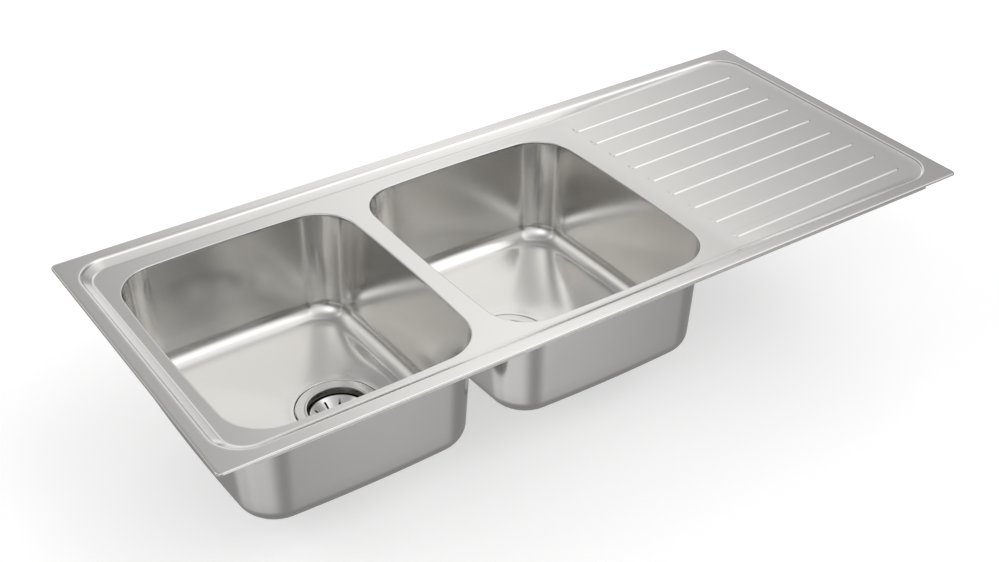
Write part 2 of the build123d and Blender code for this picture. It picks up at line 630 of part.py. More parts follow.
def make_waste_body():
    """Moulded body: collar, cup, funnel, threaded outlet, and a boss on three arms for the screw."""
    cup_floor = BODY_TOP - BODY_CUP_DEPTH
    funnel_floor = cup_floor - BODY_FUNNEL_DEPTH
    shoulder_floor = funnel_floor - OUTLET_SHOULDER_LENGTH
    outlet_end = shoulder_floor - OUTLET_LENGTH
    cup_outer = BODY_BORE_RADIUS + BODY_WALL
    body = revolved([
        (BODY_BORE_RADIUS, BODY_TOP),
        (BODY_COLLAR_RADIUS, BODY_TOP),
        (BODY_COLLAR_RADIUS, BODY_TOP - BODY_COLLAR_THICKNESS),
        (cup_outer, BODY_TOP - BODY_COLLAR_THICKNESS),
        (cup_outer, cup_floor - BODY_WALL / 2),
        (OUTLET_SHOULDER_RADIUS, funnel_floor),
        (OUTLET_SHOULDER_RADIUS, shoulder_floor),
        (OUTLET_RADIUS, shoulder_floor),
        (OUTLET_RADIUS, outlet_end),
        (OUTLET_BORE_RADIUS, outlet_end),
        (OUTLET_BORE_RADIUS, funnel_floor),
        (BODY_BORE_RADIUS, cup_floor),
    ])
    rib_reach = (cup_outer + BODY_COLLAR_RADIUS) / 2
    for index in range(BODY_COLLAR_RIB_COUNT):
        stiffener = box(
            (BODY_BORE_RADIUS + BODY_WALL / 2, -BODY_WALL / 2, BODY_TOP - 3 * BODY_COLLAR_THICKNESS),
            (rib_reach, BODY_WALL / 2, BODY_TOP - BODY_COLLAR_THICKNESS / 2),
        )
        body += Rot(0, 0, 360 / BODY_COLLAR_RIB_COUNT * index) * stiffener

    boss_floor = BOSS_TOP - BOSS_LENGTH
    arm_reach = OUTLET_BORE_RADIUS + BODY_WALL / 2
    spider = cylinder(BOSS_RADIUS, boss_floor, BOSS_TOP)
    for index in range(BOSS_ARM_COUNT):
        arm = box(
            (0, -BOSS_ARM_THICKNESS / 2, boss_floor),
            (arm_reach, BOSS_ARM_THICKNESS / 2, funnel_floor),
        )
        spider += Rot(0, 0, 360 / BOSS_ARM_COUNT * index) * arm
    spider -= cylinder(SCREW_RADIUS + SCREW_CLEARANCE, boss_floor - OVERCUT, BOSS_TOP + OVERCUT)
    insert_top = BOSS_TOP - INSERT_DEPTH
    spider -= cylinder(INSERT_RADIUS + INSERT_CLEARANCE, insert_top - INSERT_LENGTH, insert_top)
    return body + spider


def make_screw_insert():
    """Brass insert moulded into the boss."""
    top = BOSS_TOP - INSERT_DEPTH
    return tube(INSERT_RADIUS, SCREW_RADIUS + INSERT_CLEARANCE, top - INSERT_LENGTH, top)


def make_body_screw():
    """Slotted screw that clamps the dish to the body."""
    head = cylinder(SCREW_HEAD_RADIUS, DISH_FLOOR, SCREW_HEAD_TOP)
    shank = cylinder(SCREW_RADIUS, DISH_FLOOR - SCREW_LENGTH, DISH_FLOOR)
    slot = box(
        (-SCREW_HEAD_RADIUS, -SCREW_SLOT_WIDTH / 2, SCREW_HEAD_TOP - SCREW_SLOT_DEPTH),
        (SCREW_HEAD_RADIUS, SCREW_SLOT_WIDTH / 2, SCREW_HEAD_TOP + OVERCUT),
    )
    return head + shank - slot


def basket_cone():
    """Radius and level of the basket's inner slope at its top and at its foot."""
    top_radius = BASKET_RIM_RADIUS - 2 * BASKET_BEAD_RADIUS
    return (top_radius, -BASKET_RIM_DROP - BASKET_BEAD_RADIUS), (BASKET_FLOOR_RADIUS, BASKET_FLOOR)


def basket_outside(radius):
    """Level of the basket's outer slope at a radius."""
    (top_radius, top), (foot_radius, foot) = basket_cone()
    rise = (top - foot) / (top_radius - foot_radius)
    return foot + (radius - foot_radius) * rise - BASKET_SHEET * sqrt(1 + rise * rise)


def basket_outside_radius(level):
    """Radius of the basket's outer slope at a level, the reverse of basket_outside."""
    (top_radius, top), (foot_radius, foot) = basket_cone()
    rise = (top - foot) / (top_radius - foot_radius)
    return foot_radius + (level - basket_outside(foot_radius)) / rise


def make_basket():
    """Pressed strainer basket: rolled rim, sloping side with radial slots, and a small flat floor."""
    (top_radius, top), (foot_radius, foot) = basket_cone()
    cup = revolved([
        (0.0, foot),
        (foot_radius, foot),
        (top_radius, top),
        (top_radius + BASKET_BEAD_RADIUS, top),
        (top_radius + BASKET_BEAD_RADIUS, basket_outside(top_radius)),
        (top_radius, basket_outside(top_radius)),
        (foot_radius, foot - BASKET_SHEET),
        (0.0, foot - BASKET_SHEET),
    ])
    bead_place = Plane.XZ * Pos(top_radius + BASKET_BEAD_RADIUS, top)
    cup += revolve(bead_place * RegularPolygon(BASKET_BEAD_RADIUS, BASKET_BEAD_SIDES), axis=Axis.Z)
    length = BASKET_SLOT_OUTER - BASKET_SLOT_INNER
    slot_face = Pos((BASKET_SLOT_OUTER + BASKET_SLOT_INNER) / 2, 0) * SlotOverall(length, BASKET_SLOT_WIDTH)
    slot = extrude(Plane.XY.offset(foot - OVERCUT) * slot_face, amount=BASKET_DEPTH + OVERCUT)
    for index in range(BASKET_SLOT_COUNT):
        angle = BASKET_SLOT_FIRST_ANGLE + 360 / BASKET_SLOT_COUNT * index
        cup -= Rot(0, 0, angle) * slot
    return cup - cylinder(STEM_RADIUS + STEM_HOLE_CLEARANCE, foot - OVERCUT, foot + OVERCUT)


def make_basket_seal():
    """Rubber ring under the basket's rim that closes the gap to the dish."""
    outer = BASKET_RIM_RADIUS + BASKET_SEAL_OVERHANG
    top = -BASKET_RIM_DROP - 2 * BASKET_BEAD_RADIUS - BASKET_SEAL_FIT
    upper_radius = basket_outside_radius(top)
    lower_radius = upper_radius - 2 * BASKET_SEAL_HEIGHT
    bottom = basket_outside(lower_radius)
    return revolved([
        (upper_radius, top),
        (outer, top),
        (outer, top - BASKET_SEAL_HEIGHT),
        (lower_radius + BASKET_SEAL_HEIGHT, bottom - BASKET_SEAL_HEIGHT / 2),
        (lower_radius, bottom),
    ])


def make_basket_knob():
    """Turned knob by which the basket is lifted, with a blind socket for the stem."""
    top = BASKET_FLOOR + KNOB_HEIGHT
    cap_floor = top - KNOB_CAP_HEIGHT
    socket_radius = STEM_RADIUS + STEM_HOLE_CLEARANCE
    socket_top = BASKET_FLOOR + STEM_REACH_INTO_KNOB
    return revolved([
        (socket_radius, BASKET_FLOOR),
        (KNOB_NECK_RADIUS, BASKET_FLOOR),
        (KNOB_NECK_RADIUS, cap_floor),
        (KNOB_RADIUS, cap_floor),
        (KNOB_RADIUS, top - KNOB_BEVEL),
        (KNOB_RADIUS - KNOB_BEVEL, top),
        (0.0, top),
        (0.0, socket_top),
        (socket_radius, socket_top),
    ])


def make_basket_stem():
    """Pin through the basket's floor; its wide foot stands on the screw's head."""
    foot_top = BASKET_FLOOR - BASKET_SHEET
    foot = cylinder(STEM_FOOT_RADIUS, SCREW_HEAD_TOP + BASKET_REST_GAP, foot_top)
    return foot + cylinder(STEM_RADIUS, foot_top, BASKET_FLOOR + STEM_REACH_INTO_KNOB)


WASTE_PARTS = {
    "waste_dish": make_dish,
    "flange_gasket": make_flange_gasket,
    "body_gasket": make_body_gasket,
    "waste_body": make_waste_body,
    "screw_insert": make_screw_insert,
    "body_screw": make_body_screw,
    "basket": make_basket,
    "basket_seal": make_basket_seal,
    "basket_knob": make_basket_knob,
    "basket_stem": make_basket_stem,
}


# ---------------------------------------------------------------- the assembly

def make_parts():
    """Every piece of the sink by name, in its place."""
    parts = {"deck": make_deck()}
    for side in SIDES:
        parts[f"{side}_bowl"] = make_bowl(side)
        parts[f"{side}_bowl_pad"] = make_bowl_pad(side)
    parts.update(make_rails())
    parts["rim_seal"] = make_rim_seal()
    parts["drainer_pad"] = make_drainer_pad()
    parts.update(make_earth_parts())
    for name, make in WASTE_PARTS.items():
        piece = make()
        for side in SIDES:
            waste_x, waste_y = waste_centre(side)
            parts[f"{side}_{name}"] = Pos(waste_x, waste_y, WASTE_LEVEL) * piece
    return parts


os.makedirs("parts", exist_ok=True)
for part_name, solid in make_parts().items():
    export_step(solid, f"parts/{part_name}.step")
    print(part_name, round(solid.volume))
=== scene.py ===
import bmesh
import bpy
import numpy as np
from mathutils import Matrix, Vector
from mathutils.geometry import delaunay_2d_cdt


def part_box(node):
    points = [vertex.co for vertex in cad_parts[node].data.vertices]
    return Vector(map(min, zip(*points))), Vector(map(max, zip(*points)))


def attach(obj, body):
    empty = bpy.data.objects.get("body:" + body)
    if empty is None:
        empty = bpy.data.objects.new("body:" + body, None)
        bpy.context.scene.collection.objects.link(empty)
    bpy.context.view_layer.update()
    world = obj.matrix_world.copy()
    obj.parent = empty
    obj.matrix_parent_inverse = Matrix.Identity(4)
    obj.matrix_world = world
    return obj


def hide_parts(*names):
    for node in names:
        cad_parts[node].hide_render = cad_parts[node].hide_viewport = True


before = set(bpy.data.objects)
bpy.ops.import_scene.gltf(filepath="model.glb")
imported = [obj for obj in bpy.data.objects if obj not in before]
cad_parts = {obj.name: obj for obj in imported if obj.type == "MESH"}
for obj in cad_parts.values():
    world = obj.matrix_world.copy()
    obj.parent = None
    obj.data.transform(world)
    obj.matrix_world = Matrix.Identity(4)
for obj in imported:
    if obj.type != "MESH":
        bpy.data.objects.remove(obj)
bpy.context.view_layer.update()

# ------------------------------------------------------------------------------ camera, floor and light
# The sink stands by itself on a white floor in a white room. The room's even light and some broad soft
# panels, far off on all sides and below, are all that the steel has to mirror: it looks through the floor.

scene = bpy.context.scene
scene.view_settings.view_transform = "Standard"

CAMERA_PLACE = (-1.02744, -1.44651, 1.08505)
CAMERA_RIGHT = (0.82582, -0.56393, -0.00155)
CAMERA_DOWN = (-0.31475, -0.45864, -0.83101)
side_axis = Vector(CAMERA_RIGHT).normalized()
back_axis = side_axis.cross(-Vector(CAMERA_DOWN)).normalized()
up_axis = back_axis.cross(side_axis)
camera_data = bpy.data.cameras.new("camera")
camera_data.sensor_width = 36.0
camera_data.lens = 54.78
camera = bpy.data.objects.new("camera", camera_data)
scene.collection.objects.link(camera)
camera_turn = Matrix((side_axis, up_axis, back_axis)).transposed().to_4x4()
camera.matrix_world = Matrix.Translation(CAMERA_PLACE) @ camera_turn
scene.camera = camera

WHITE = (1.0, 1.0, 1.0, 1.0)
FLOOR_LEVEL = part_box("left_waste_body")[0].z
FLOOR_HALF = 9.0
FLOOR_PAINT = (0.72, 0.72, 0.72, 1.0)
FLOOR_GLOW = 0.45
WHITE_TO_MIRRORS = 0.2
ROOM_LIGHT = 0.13
SOFT_PANELS = [  # azimuth clockwise from +Y and elevation in degrees, edge, power
    (300, 38, 29.0, 2.75), (342, 20, 29.0, 1.4), (22, 4, 29.0, 1.2), (26, 27, 90.0, 0.70),
    (34, 26, 90.0, 0.30), (35, 37, 90.0, 0.60), (44, 43, 90.0, 1.1), (60, 65, 7.0, 0.57),
    (102, 58, 29.0, 1.1), (142, 41, 14.0, 1.85), (205, 35, 7.0, 1.0), (238, 37, 29.0, 1.5),
    (50, -8, 29.0, 1.7), (30, -10, 29.0, 1.0), (160, -20, 29.0, 2.0), (145, -40, 29.0, 0.3),
    (220, -40, 29.0, 0.52), (245, -38, 29.0, 0.53), (272, -36, 29.0, 0.75), (305, -32, 29.0, 0.88)]


def node_maker(tree):
    """Returns a function that adds a node of a type to the tree and sets its inputs and properties."""
    def add(kind, inputs=None, **settings):
        node = tree.nodes.new(kind)
        for key, value in settings.items():
            setattr(node, key, value)
        for key, value in (inputs or {}).items():
            node.inputs[key].default_value = value
        return node
    return add


def seen_white(add, link):
    """1 where the camera or glass looks, a share of it where metal mirrors, and 0 for gathered light."""
    path = add("ShaderNodeLightPath")
    mirrored = add("ShaderNodeMath", {1: WHITE_TO_MIRRORS}, operation="MULTIPLY")
    link(path.outputs["Is Glossy Ray"], mirrored.inputs[0])
    seen = mirrored.outputs[0]
    for ray in ("Is Camera Ray", "Is Transmission Ray"):
        larger = add("ShaderNodeMath", operation="MAXIMUM")
        link(seen, larger.inputs[0])
        link(path.outputs[ray], larger.inputs[1])
        seen = larger.outputs[0]
    return seen


# each panel is a soft patch: its power times e to the power of the edge times (cosine - 1), where the cosine
# is between the looked-at direction and the panel's own
room = bpy.data.worlds.new("white_room")
room.use_nodes = True
scene.world = room
room.node_tree.nodes.clear()
add, link = node_maker(room.node_tree), room.node_tree.links.new
direction = add("ShaderNodeTexCoord").outputs["Generated"]
light = add("ShaderNodeValue").outputs[0]
light.default_value = ROOM_LIGHT
for azimuth, elevation, edge, power in SOFT_PANELS:
    around, up = np.radians((azimuth, elevation))
    aim = (np.cos(up) * np.sin(around), np.cos(up) * np.cos(around), np.sin(up))
    facing = add("ShaderNodeVectorMath", {1: aim}, operation="DOT_PRODUCT")
    link(direction, facing.inputs[0])
    falloff = add("ShaderNodeMath", {1: edge, 2: -edge}, operation="MULTIPLY_ADD")
    link(facing.outputs["Value"], falloff.inputs[0])
    patch = add("ShaderNodeMath", operation="EXPONENT")
    link(falloff.outputs[0], patch.inputs[0])
    total = add("ShaderNodeMath", {1: power}, operation="MULTIPLY_ADD")
    link(patch.outputs[0], total.inputs[0])
    link(light, total.inputs[2])
    light = total.outputs[0]
strength = add("ShaderNodeMapRange", {"To Max": 1.0})
link(seen_white(add, link), strength.inputs["Value"])
link(light, strength.inputs["To Min"])
air = add("ShaderNodeBackground", {"Color": WHITE})
link(strength.outputs["Result"], air.inputs["Strength"])
link(air.outputs[0], add("ShaderNodeOutputWorld").inputs["Surface"])

floor_mesh = bpy.data.meshes.new("floor")
floor_corners = [(x * FLOOR_HALF, y * FLOOR_HALF, FLOOR_LEVEL)
                 for x, y in ((-1, -1), (1, -1), (1, 1), (-1, 1))]
floor_mesh.from_pydata(floor_corners, [], [(0, 1, 2, 3)])
floor = bpy.data.objects.new("floor", floor_mesh)
scene.collection.objects.link(floor)
white_floor = bpy.data.materials.new("white_floor")
white_floor.use_nodes = True
white_floor.node_tree.nodes.clear()
add, link = node_maker(white_floor.node_tree), white_floor.node_tree.links.new
paint = add("ShaderNodeBsdfDiffuse", {"Color": FLOOR_PAINT})
glow = add("ShaderNodeEmission", {"Color": WHITE})
glow_strength = add("ShaderNodeMapRange", {"To Min": 0.0, "To Max": FLOOR_GLOW})
link(seen_white(add, link), glow_strength.inputs["Value"])
link(glow_strength.outputs["Result"], glow.inputs["Strength"])
both = add("ShaderNodeAddShader")
link(paint.outputs[0], both.inputs[0])
link(glow.outputs[0], both.inputs[1])

# the floor isn't there for what metal mirrors, nor for a camera that looks up from below it
unseen = add("ShaderNodeMath", operation="MAXIMUM")
link(add("ShaderNodeLightPath").outputs["Is Glossy Ray"], unseen.inputs[0])
link(add("ShaderNodeNewGeometry").outputs["Backfacing"], unseen.inputs[1])
shown = add("ShaderNodeMixShader")
link(unseen.outputs[0], shown.inputs["Fac"])
link(both.outputs[0], shown.inputs[1])
link(add("ShaderNodeBsdfTransparent").outputs[0], shown.inputs[2])
link(shown.outputs[0], add("ShaderNodeOutputMaterial").inputs["Surface"])
floor_mesh.materials.append(white_floor)

# ------------------------------------------------------------------------------ pressed top
# The deck is one sheet of satin stainless steel, 1 mm thick: a lipped rim, a stepped recess and a drainer
# with nine long ribs. It is pressed in one stroke, and the necks of the two bowls are drawn down.

SHEET = 1.0
WELD_REACH, FILL_TOLERANCE = 0.00001, 1e-6
HALF_X, HALF_Y, RIM_TOP = np.array(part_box("deck")[1]) * 1000.0
RIM_CORNER = 8.0
LIP_ROUND, LIP_END = 2.2, 5.0
RIM_WIDTH = 20.0
RECESS_CORNER = 46.0
STEP_RUN, STEP_DROP = 2.0, 3.0
SLOPE_RUN, SLOPE_DROP = 12.0, 6.0
DECK = RIM_TOP - STEP_DROP - SLOPE_DROP
NECK_DROP = 5.0
SEAM = DECK - NECK_DROP
RECESS_START, RECESS_FOOT, RECESS_END = 14.0, 38.0, 39.0
RECESS_ROUNDS = [5.0, 1.2, 8.0]
CORNER_STEPS = 24
SIDE_STEPS = 40

DRAINER_START = 195.0
DRAINER_RISE = 7.0 / 355.0
DRAINER_FADE = 60.0
DRAINER_BLEND, BEND_BLEND = 0.8, 8.0
BEND_REACH, BEND_HALF, BEND_POINTS = 6.0, 205.0, 30
RIB_HALF_X, RIB_HALF_Y, RIB_CORNER = 155.0, 7.5, 5.0
RIB_MIDDLE, RIB_ROW_CENTRE, RIB_PITCH, RIB_COUNT = 368.0, -6.5, 45.0, 9
RIB_HEIGHT, RIB_RUN = 1.4, 1.0
RIB_ROUNDS = [0.8, 0.9]
RIB_MARGINS, RIB_CROWNS = (-2.5, -1.2), (2.4, 3.2)

BOWL_CENTRES = {"left": np.array((-360.5, -7.0)), "right": np.array((6.5, -7.0))}
BOWL_HALF_X, BOWL_HALF_Y, BOWL_CORNER, BOWL_BOW = 169.5, 199.0, 62.0, 5.6
MOUTH_ROUND, MOUTH_RIDGE, MOUTH_LEDGE = 1.6, 1.0, 5.0
WALL_SLOPE = 10.8 / 161.0


def rounded_path(half_x, half_y, corner, corner_steps, side_steps):
    """Rounded rectangle seen from above, anticlockwise, with its outward normals.

    Each corner is a quarter circle in even steps of angle, and each side is divided evenly between the
    two corners that it joins."""
    turn = np.linspace(0.0, np.pi / 2, corner_steps + 1)
    quarter = np.stack([np.cos(turn), np.sin(turn)], axis=1)
    quarters = [np.stack([quarter @ (c, -s), quarter @ (s, c)], axis=1)
                for c, s in ((1, 0), (0, 1), (-1, 0), (0, -1))]
    signs = ((1, 1), (-1, 1), (-1, -1), (1, -1))
    points, normals = [], []
    centres = [np.array((sx * (half_x - corner), sy * (half_y - corner))) for sx, sy in signs]
    between = np.linspace(0.0, 1.0, side_steps + 1)[1:-1, None]
    for index in range(4):
        arc = centres[index] + corner * quarters[index]
        after = centres[(index + 1) % 4] + corner * quarters[(index + 1) % 4]
        points += [arc, arc[-1] + (after[0] - arc[-1]) * between]
        normals += [quarters[index], np.repeat(quarters[index][-1:], len(between), axis=0)]
    return np.concatenate(points), np.concatenate(normals)


def bowed_path(half_x, half_y, corner, bow, corner_steps, side_steps):
    """Rounded rectangle with four shallow arcs as sides, anticlockwise, with its outward normals.

    A side is the arc through its two ends, which stand in by the bow, and its middle. The corner circle
    touches both sides from inside, so its centre is as far from each side's centre as the radii differ."""
    near_x, near_y = half_x - bow, half_y - bow
    radius_x = (near_y ** 2 + bow ** 2) / (2 * bow)
    radius_y = (near_x ** 2 + bow ** 2) / (2 * bow)
    side_x, side_y = half_x - radius_x, half_y - radius_y
    centre = np.array((near_x - corner, near_y - corner))
    for _ in range(30):
        gap_x = np.hypot(centre[0] - side_x, centre[1]) - (radius_x - corner)
        gap_y = np.hypot(centre[0], centre[1] - side_y) - (radius_y - corner)
        centre = centre - (gap_x, gap_y)
    first = np.arctan2(centre[1], centre[0] - side_x)
    last = np.arctan2(centre[1] - side_y, centre[0])
    turn = np.linspace(first, last, corner_steps + 1)
    rise = np.linspace(0.0, first, side_steps // 2 + 1)[:-1]
    run = np.linspace(last, np.pi / 2, side_steps // 2 + 1)[1:]
    angles = np.concatenate([rise, turn, run])
    at = np.concatenate([np.tile((side_x, 0.0), (len(rise), 1)), np.tile(centre, (len(turn), 1)),
                         np.tile((0.0, side_y), (len(run), 1))])
    radius = np.repeat((radius_x, corner, radius_y), (len(rise), len(turn), len(run)))
    normal = np.stack([np.cos(angles), np.sin(angles)], axis=1)
    point = at + radius[:, None] * normal
    flip_x, flip_y = np.array((-1.0, 1.0)), np.array((1.0, -1.0))
    loops = [np.concatenate([part[:-1], part[::-1][:-1] * flip_x, part[:-1] * flip_x * flip_y,
                             part[::-1][:-1] * flip_y]) for part in (point, normal)]
    return loops[0], loops[1]


def rounded_line(corners, rounds, steps):
    """A line through (run, level) points whose inner corners are arcs of the given radii.

    An arc starts and ends at radius times the tangent of half the turn from its corner, and its points
    swing about its centre in even steps of angle."""
    corners = np.array(corners, float)
    line = [corners[0]]
    for before, here, after, radius in zip(corners[:-2], corners[1:-1], corners[2:], rounds):
        enter = (here - before) / np.linalg.norm(here - before)
        leave = (after - here) / np.linalg.norm(after - here)
        cross = enter[0] * leave[1] - enter[1] * leave[0]
        turn = np.arctan2(cross, enter @ leave)
        side = np.sign(turn) * np.array((-enter[1], enter[0]))
        start = here - enter * radius * np.tan(abs(turn) / 2)
        swing = np.linspace(0.0, abs(turn), steps + 1)[:, None]
        line += list(start + radius * (np.sin(swing) * enter + (1 - np.cos(swing)) * side))
    return np.array(line + [corners[-1]])


def ring_faces(rings, count, first=0):
    """Quads between neighbouring closed rings of points that are stored one after another."""
    row = np.arange(rings - 1)[:, None] * count
    column = np.arange(count)[None, :]
    after = (column + 1) % count
    quads = np.stack([row + column, row + after, row + count + after, row + count + column], axis=-1)
    return quads.reshape(-1, 4) + first


def shell(name, points, faces, thickness, material, nodes, body="sink"):
    """Makes a piece from points in millimetres and faces that point away from the metal, welds its seams,
    marks its cut edges sharp, and thickens it on the far side."""
    mesh = bpy.data.meshes.new(name)
    mesh.from_pydata((np.asarray(points) / 1000.0).tolist(), [], [list(face) for face in faces])
    welded = bmesh.new()
    welded.from_mesh(mesh)
    bmesh.ops.remove_doubles(welded, verts=welded.verts, dist=WELD_REACH)
    welded.to_mesh(mesh)
    welded.free()
    piece = bpy.data.objects.new(name, mesh)
    scene.collection.objects.link(piece)
    mesh.materials.append(material)
    loop_edges = np.zeros(len(mesh.loops), int)
    mesh.loops.foreach_get("edge_index", loop_edges)
    cut_edge = np.bincount(loop_edges, minlength=len(mesh.edges)) == 1
    mesh.attributes.new("sharp_edge", "BOOLEAN", "EDGE").data.foreach_set("value", cut_edge)
    if thickness:
        wall = piece.modifiers.new("sheet", "SOLIDIFY")
        wall.thickness = thickness / 1000.0
        wall.offset = -1.0
        wall.use_even_offset = True
    mesh.polygons.foreach_set("use_smooth", np.ones(len(mesh.polygons), bool))
    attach(piece, body)
    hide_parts(*nodes)


def node_group(name, inputs, outputs):
    """Starts a shader node group from its sockets' names, kinds and first values."""
    tree = bpy.data.node_groups.new(name, "ShaderNodeTree")
    for label, kind, value in inputs:
        socket = tree.interface.new_socket(label, in_out="INPUT", socket_type=f"NodeSocket{kind}")
        socket.default_value = value
    for label, kind in outputs:
        tree.interface.new_socket(label, in_out="OUTPUT", socket_type=f"NodeSocket{kind}")
    add = node_maker(tree)
    return tree, add, tree.links.new, add("NodeGroupInput").outputs, add("NodeGroupOutput").inputs


def finish_outputs(add, link, given, result, grain, cloud):
    """Ends a finish group: fine grain and broad clouds, both 0 to 1, shift its tint and its roughness."""
    for label, base, first in (("Color", "Tint", "Mottle"), ("Roughness", "Base Roughness", "Spread")):
        mixed = add("ShaderNodeMath", operation="ADD")
        link(grain, mixed.inputs[0])
        link(cloud, mixed.inputs[1])
        shift = add("ShaderNodeMath", {1: -1.0}, operation="ADD")
        link(mixed.outputs[0], shift.inputs[0])
        swing = add("ShaderNodeMath", operation="MULTIPLY_ADD")
        link(shift.outputs[0], swing.inputs[0])
        link(given[first], swing.inputs[1])
        if label == "Color":
            swing.inputs[2].default_value = 1.0
            scaled = add("ShaderNodeVectorMath", operation="SCALE")
            link(given[base], scaled.inputs[0])
            link(swing.outputs[0], scaled.inputs["Scale"])
            link(scaled.outputs["Vector"], result[label])
        else:
            link(given[base], swing.inputs[2])
            link(swing.outputs[0], result[label])
    link(grain, result["Height"])


FINISH_INPUTS = [("Tint", "Color", (0.6, 0.6, 0.6, 1.0)), ("Mottle", "Float", 0.05),
                 ("Base Roughness", "Float", 0.3), ("Spread", "Float", 0.05)]
FINISH_OUTPUTS = [("Color", "Color"), ("Roughness", "Float"), ("Height", "Float")]

# rolling leaves fine lines along the sheet: noise that is stretched along X, over broad soft clouds
rolled_grain, add, link, given, result = node_group(
    "rolled_grain", FINISH_INPUTS + [("Lines", "Vector", (60.0, 2400.0, 2400.0))], FINISH_OUTPUTS)
place = add("ShaderNodeTexCoord")
stretched = add("ShaderNodeVectorMath", operation="MULTIPLY")
link(place.outputs["Object"], stretched.inputs[0])
link(given["Lines"], stretched.inputs[1])
lines = add("ShaderNodeTexNoise", {"Scale": 1.0, "Detail": 2.0})
link(stretched.outputs["Vector"], lines.inputs["Vector"])
clouds = add("ShaderNodeTexNoise", {"Scale": 14.0, "Detail": 2.0})
link(place.outputs["Object"], clouds.inputs["Vector"])
finish_outputs(add, link, given, result, lines.outputs["Fac"], clouds.outputs["Fac"])


def finish_material(name, group, values, metallic, bump):
    """Makes a material from a finish group with its own values; bump is the depth of its grain in metres."""
    material = bpy.data.materials.new(name)
    material.use_nodes = True
    surface = material.node_tree.nodes["Principled BSDF"]
    surface.inputs["Metallic"].default_value = metallic
    add, link = node_maker(material.node_tree), material.node_tree.links.new
    effect = add("ShaderNodeGroup", values, node_tree=group)
    link(effect.outputs["Color"], surface.inputs["Base Color"])
    link(effect.outputs["Roughness"], surface.inputs["Roughness"])
    relief = add("ShaderNodeBump", {"Strength": 1.0, "Distance": bump})
    link(effect.outputs["Height"], relief.inputs["Height"])
    link(relief.outputs["Normal"], surface.inputs["Normal"])
    return material


PRESSED_TINT = (0.66, 0.651, 0.634, 1.0)
PRESSED_GRAIN = 0.0000006
deck_steel = finish_material("satin_deck_steel", rolled_grain, {
    "Tint": PRESSED_TINT, "Mottle": 0.03, "Base Roughness": 0.18, "Spread": 0.03},
    metallic=1.0, bump=PRESSED_GRAIN)


def drainer_level(x):
    """Height of the deck's floor: level, then a steady rise from the drainer's start, softly joined.

    It is the smooth larger one of the two planes: half their sum plus half the root of their squared
    difference and the squared blend."""
    rise = (x - DRAINER_START) * DRAINER_RISE
    return DECK + (rise + np.sqrt(rise ** 2 + (BEND_BLEND * DRAINER_RISE) ** 2)) / 2


def recess_level(profile_level, x):
    """Height in the recess: the stepped side, which turns over the first part of the drainer into the
    smooth larger one of that side and the drainer's plane, and never stands above the rim."""
    plane = drainer_level(x)
    gap = profile_level - plane
    lifted = (profile_level + plane + np.sqrt(gap ** 2 + DRAINER_BLEND ** 2)) / 2
    share = np.clip((x - DRAINER_START) / DRAINER_FADE, 0.0, 1.0)
    return np.minimum(profile_level + (lifted - profile_level) * share * share * (3 - 2 * share), RIM_TOP)


outer_path, outer_normal = rounded_path(HALF_X, HALF_Y, RIM_CORNER, CORNER_STEPS, SIDE_STEPS)
recess_path, recess_normal = rounded_path(HALF_X - RIM_WIDTH, HALF_Y - RIM_WIDTH, RECESS_CORNER,
                                          CORNER_STEPS, SIDE_STEPS)
lip = rounded_line([(0.0, 0.0), (0.0, RIM_TOP), (LIP_END, RIM_TOP)], [LIP_ROUND], steps=8)
lip_rings = [np.column_stack([outer_path - inset * outer_normal, np.full(len(outer_path), level)])
             for inset, level in lip]
step_foot = RIM_WIDTH + STEP_RUN
slope_foot = step_foot + SLOPE_RUN
recess = rounded_line([(RECESS_START, RIM_TOP), (RIM_WIDTH, RIM_TOP), (step_foot, RIM_TOP - STEP_DROP),
                       (slope_foot, DECK), (RECESS_FOOT, DECK)], RECESS_ROUNDS, steps=7)
recess = np.concatenate([recess, [(RECESS_END, DECK)]])
recess_rings = []
for inset, level in recess:
    ring = recess_path - (inset - RIM_WIDTH) * recess_normal
    recess_rings.append(np.column_stack([ring, recess_level(np.full(len(ring), level), ring[:, 0])]))
deck_points = lip_rings + recess_rings
rim_count = len(outer_path)
deck_faces = [ring_faces(len(deck_points), rim_count)]
fill_loops = [(recess_rings[-1], "keep")]

mouth_path, mouth_normal = bowed_path(BOWL_HALF_X, BOWL_HALF_Y, BOWL_CORNER, BOWL_BOW,
                                      CORNER_STEPS, SIDE_STEPS)
neck = rounded_line([(-MOUTH_LEDGE, DECK), (0.0, DECK), (NECK_DROP * WALL_SLOPE, SEAM)],
                    [MOUTH_ROUND], steps=8)
neck = np.insert(neck, 1, (-MOUTH_ROUND - MOUTH_RIDGE, DECK), axis=0)
start = len(deck_points) * rim_count
deck_points = [np.concatenate(deck_points)]
for centre in BOWL_CENTRES.values():
    rings = [np.column_stack([centre + mouth_path - inset * mouth_normal, np.full(len(mouth_path), level)])
             for inset, level in neck]
    deck_points.append(np.concatenate(rings))
    deck_faces.append(ring_faces(len(rings), len(mouth_path), start))
    start += len(rings) * len(mouth_path)
    fill_loops.append((rings[0], "hole"))

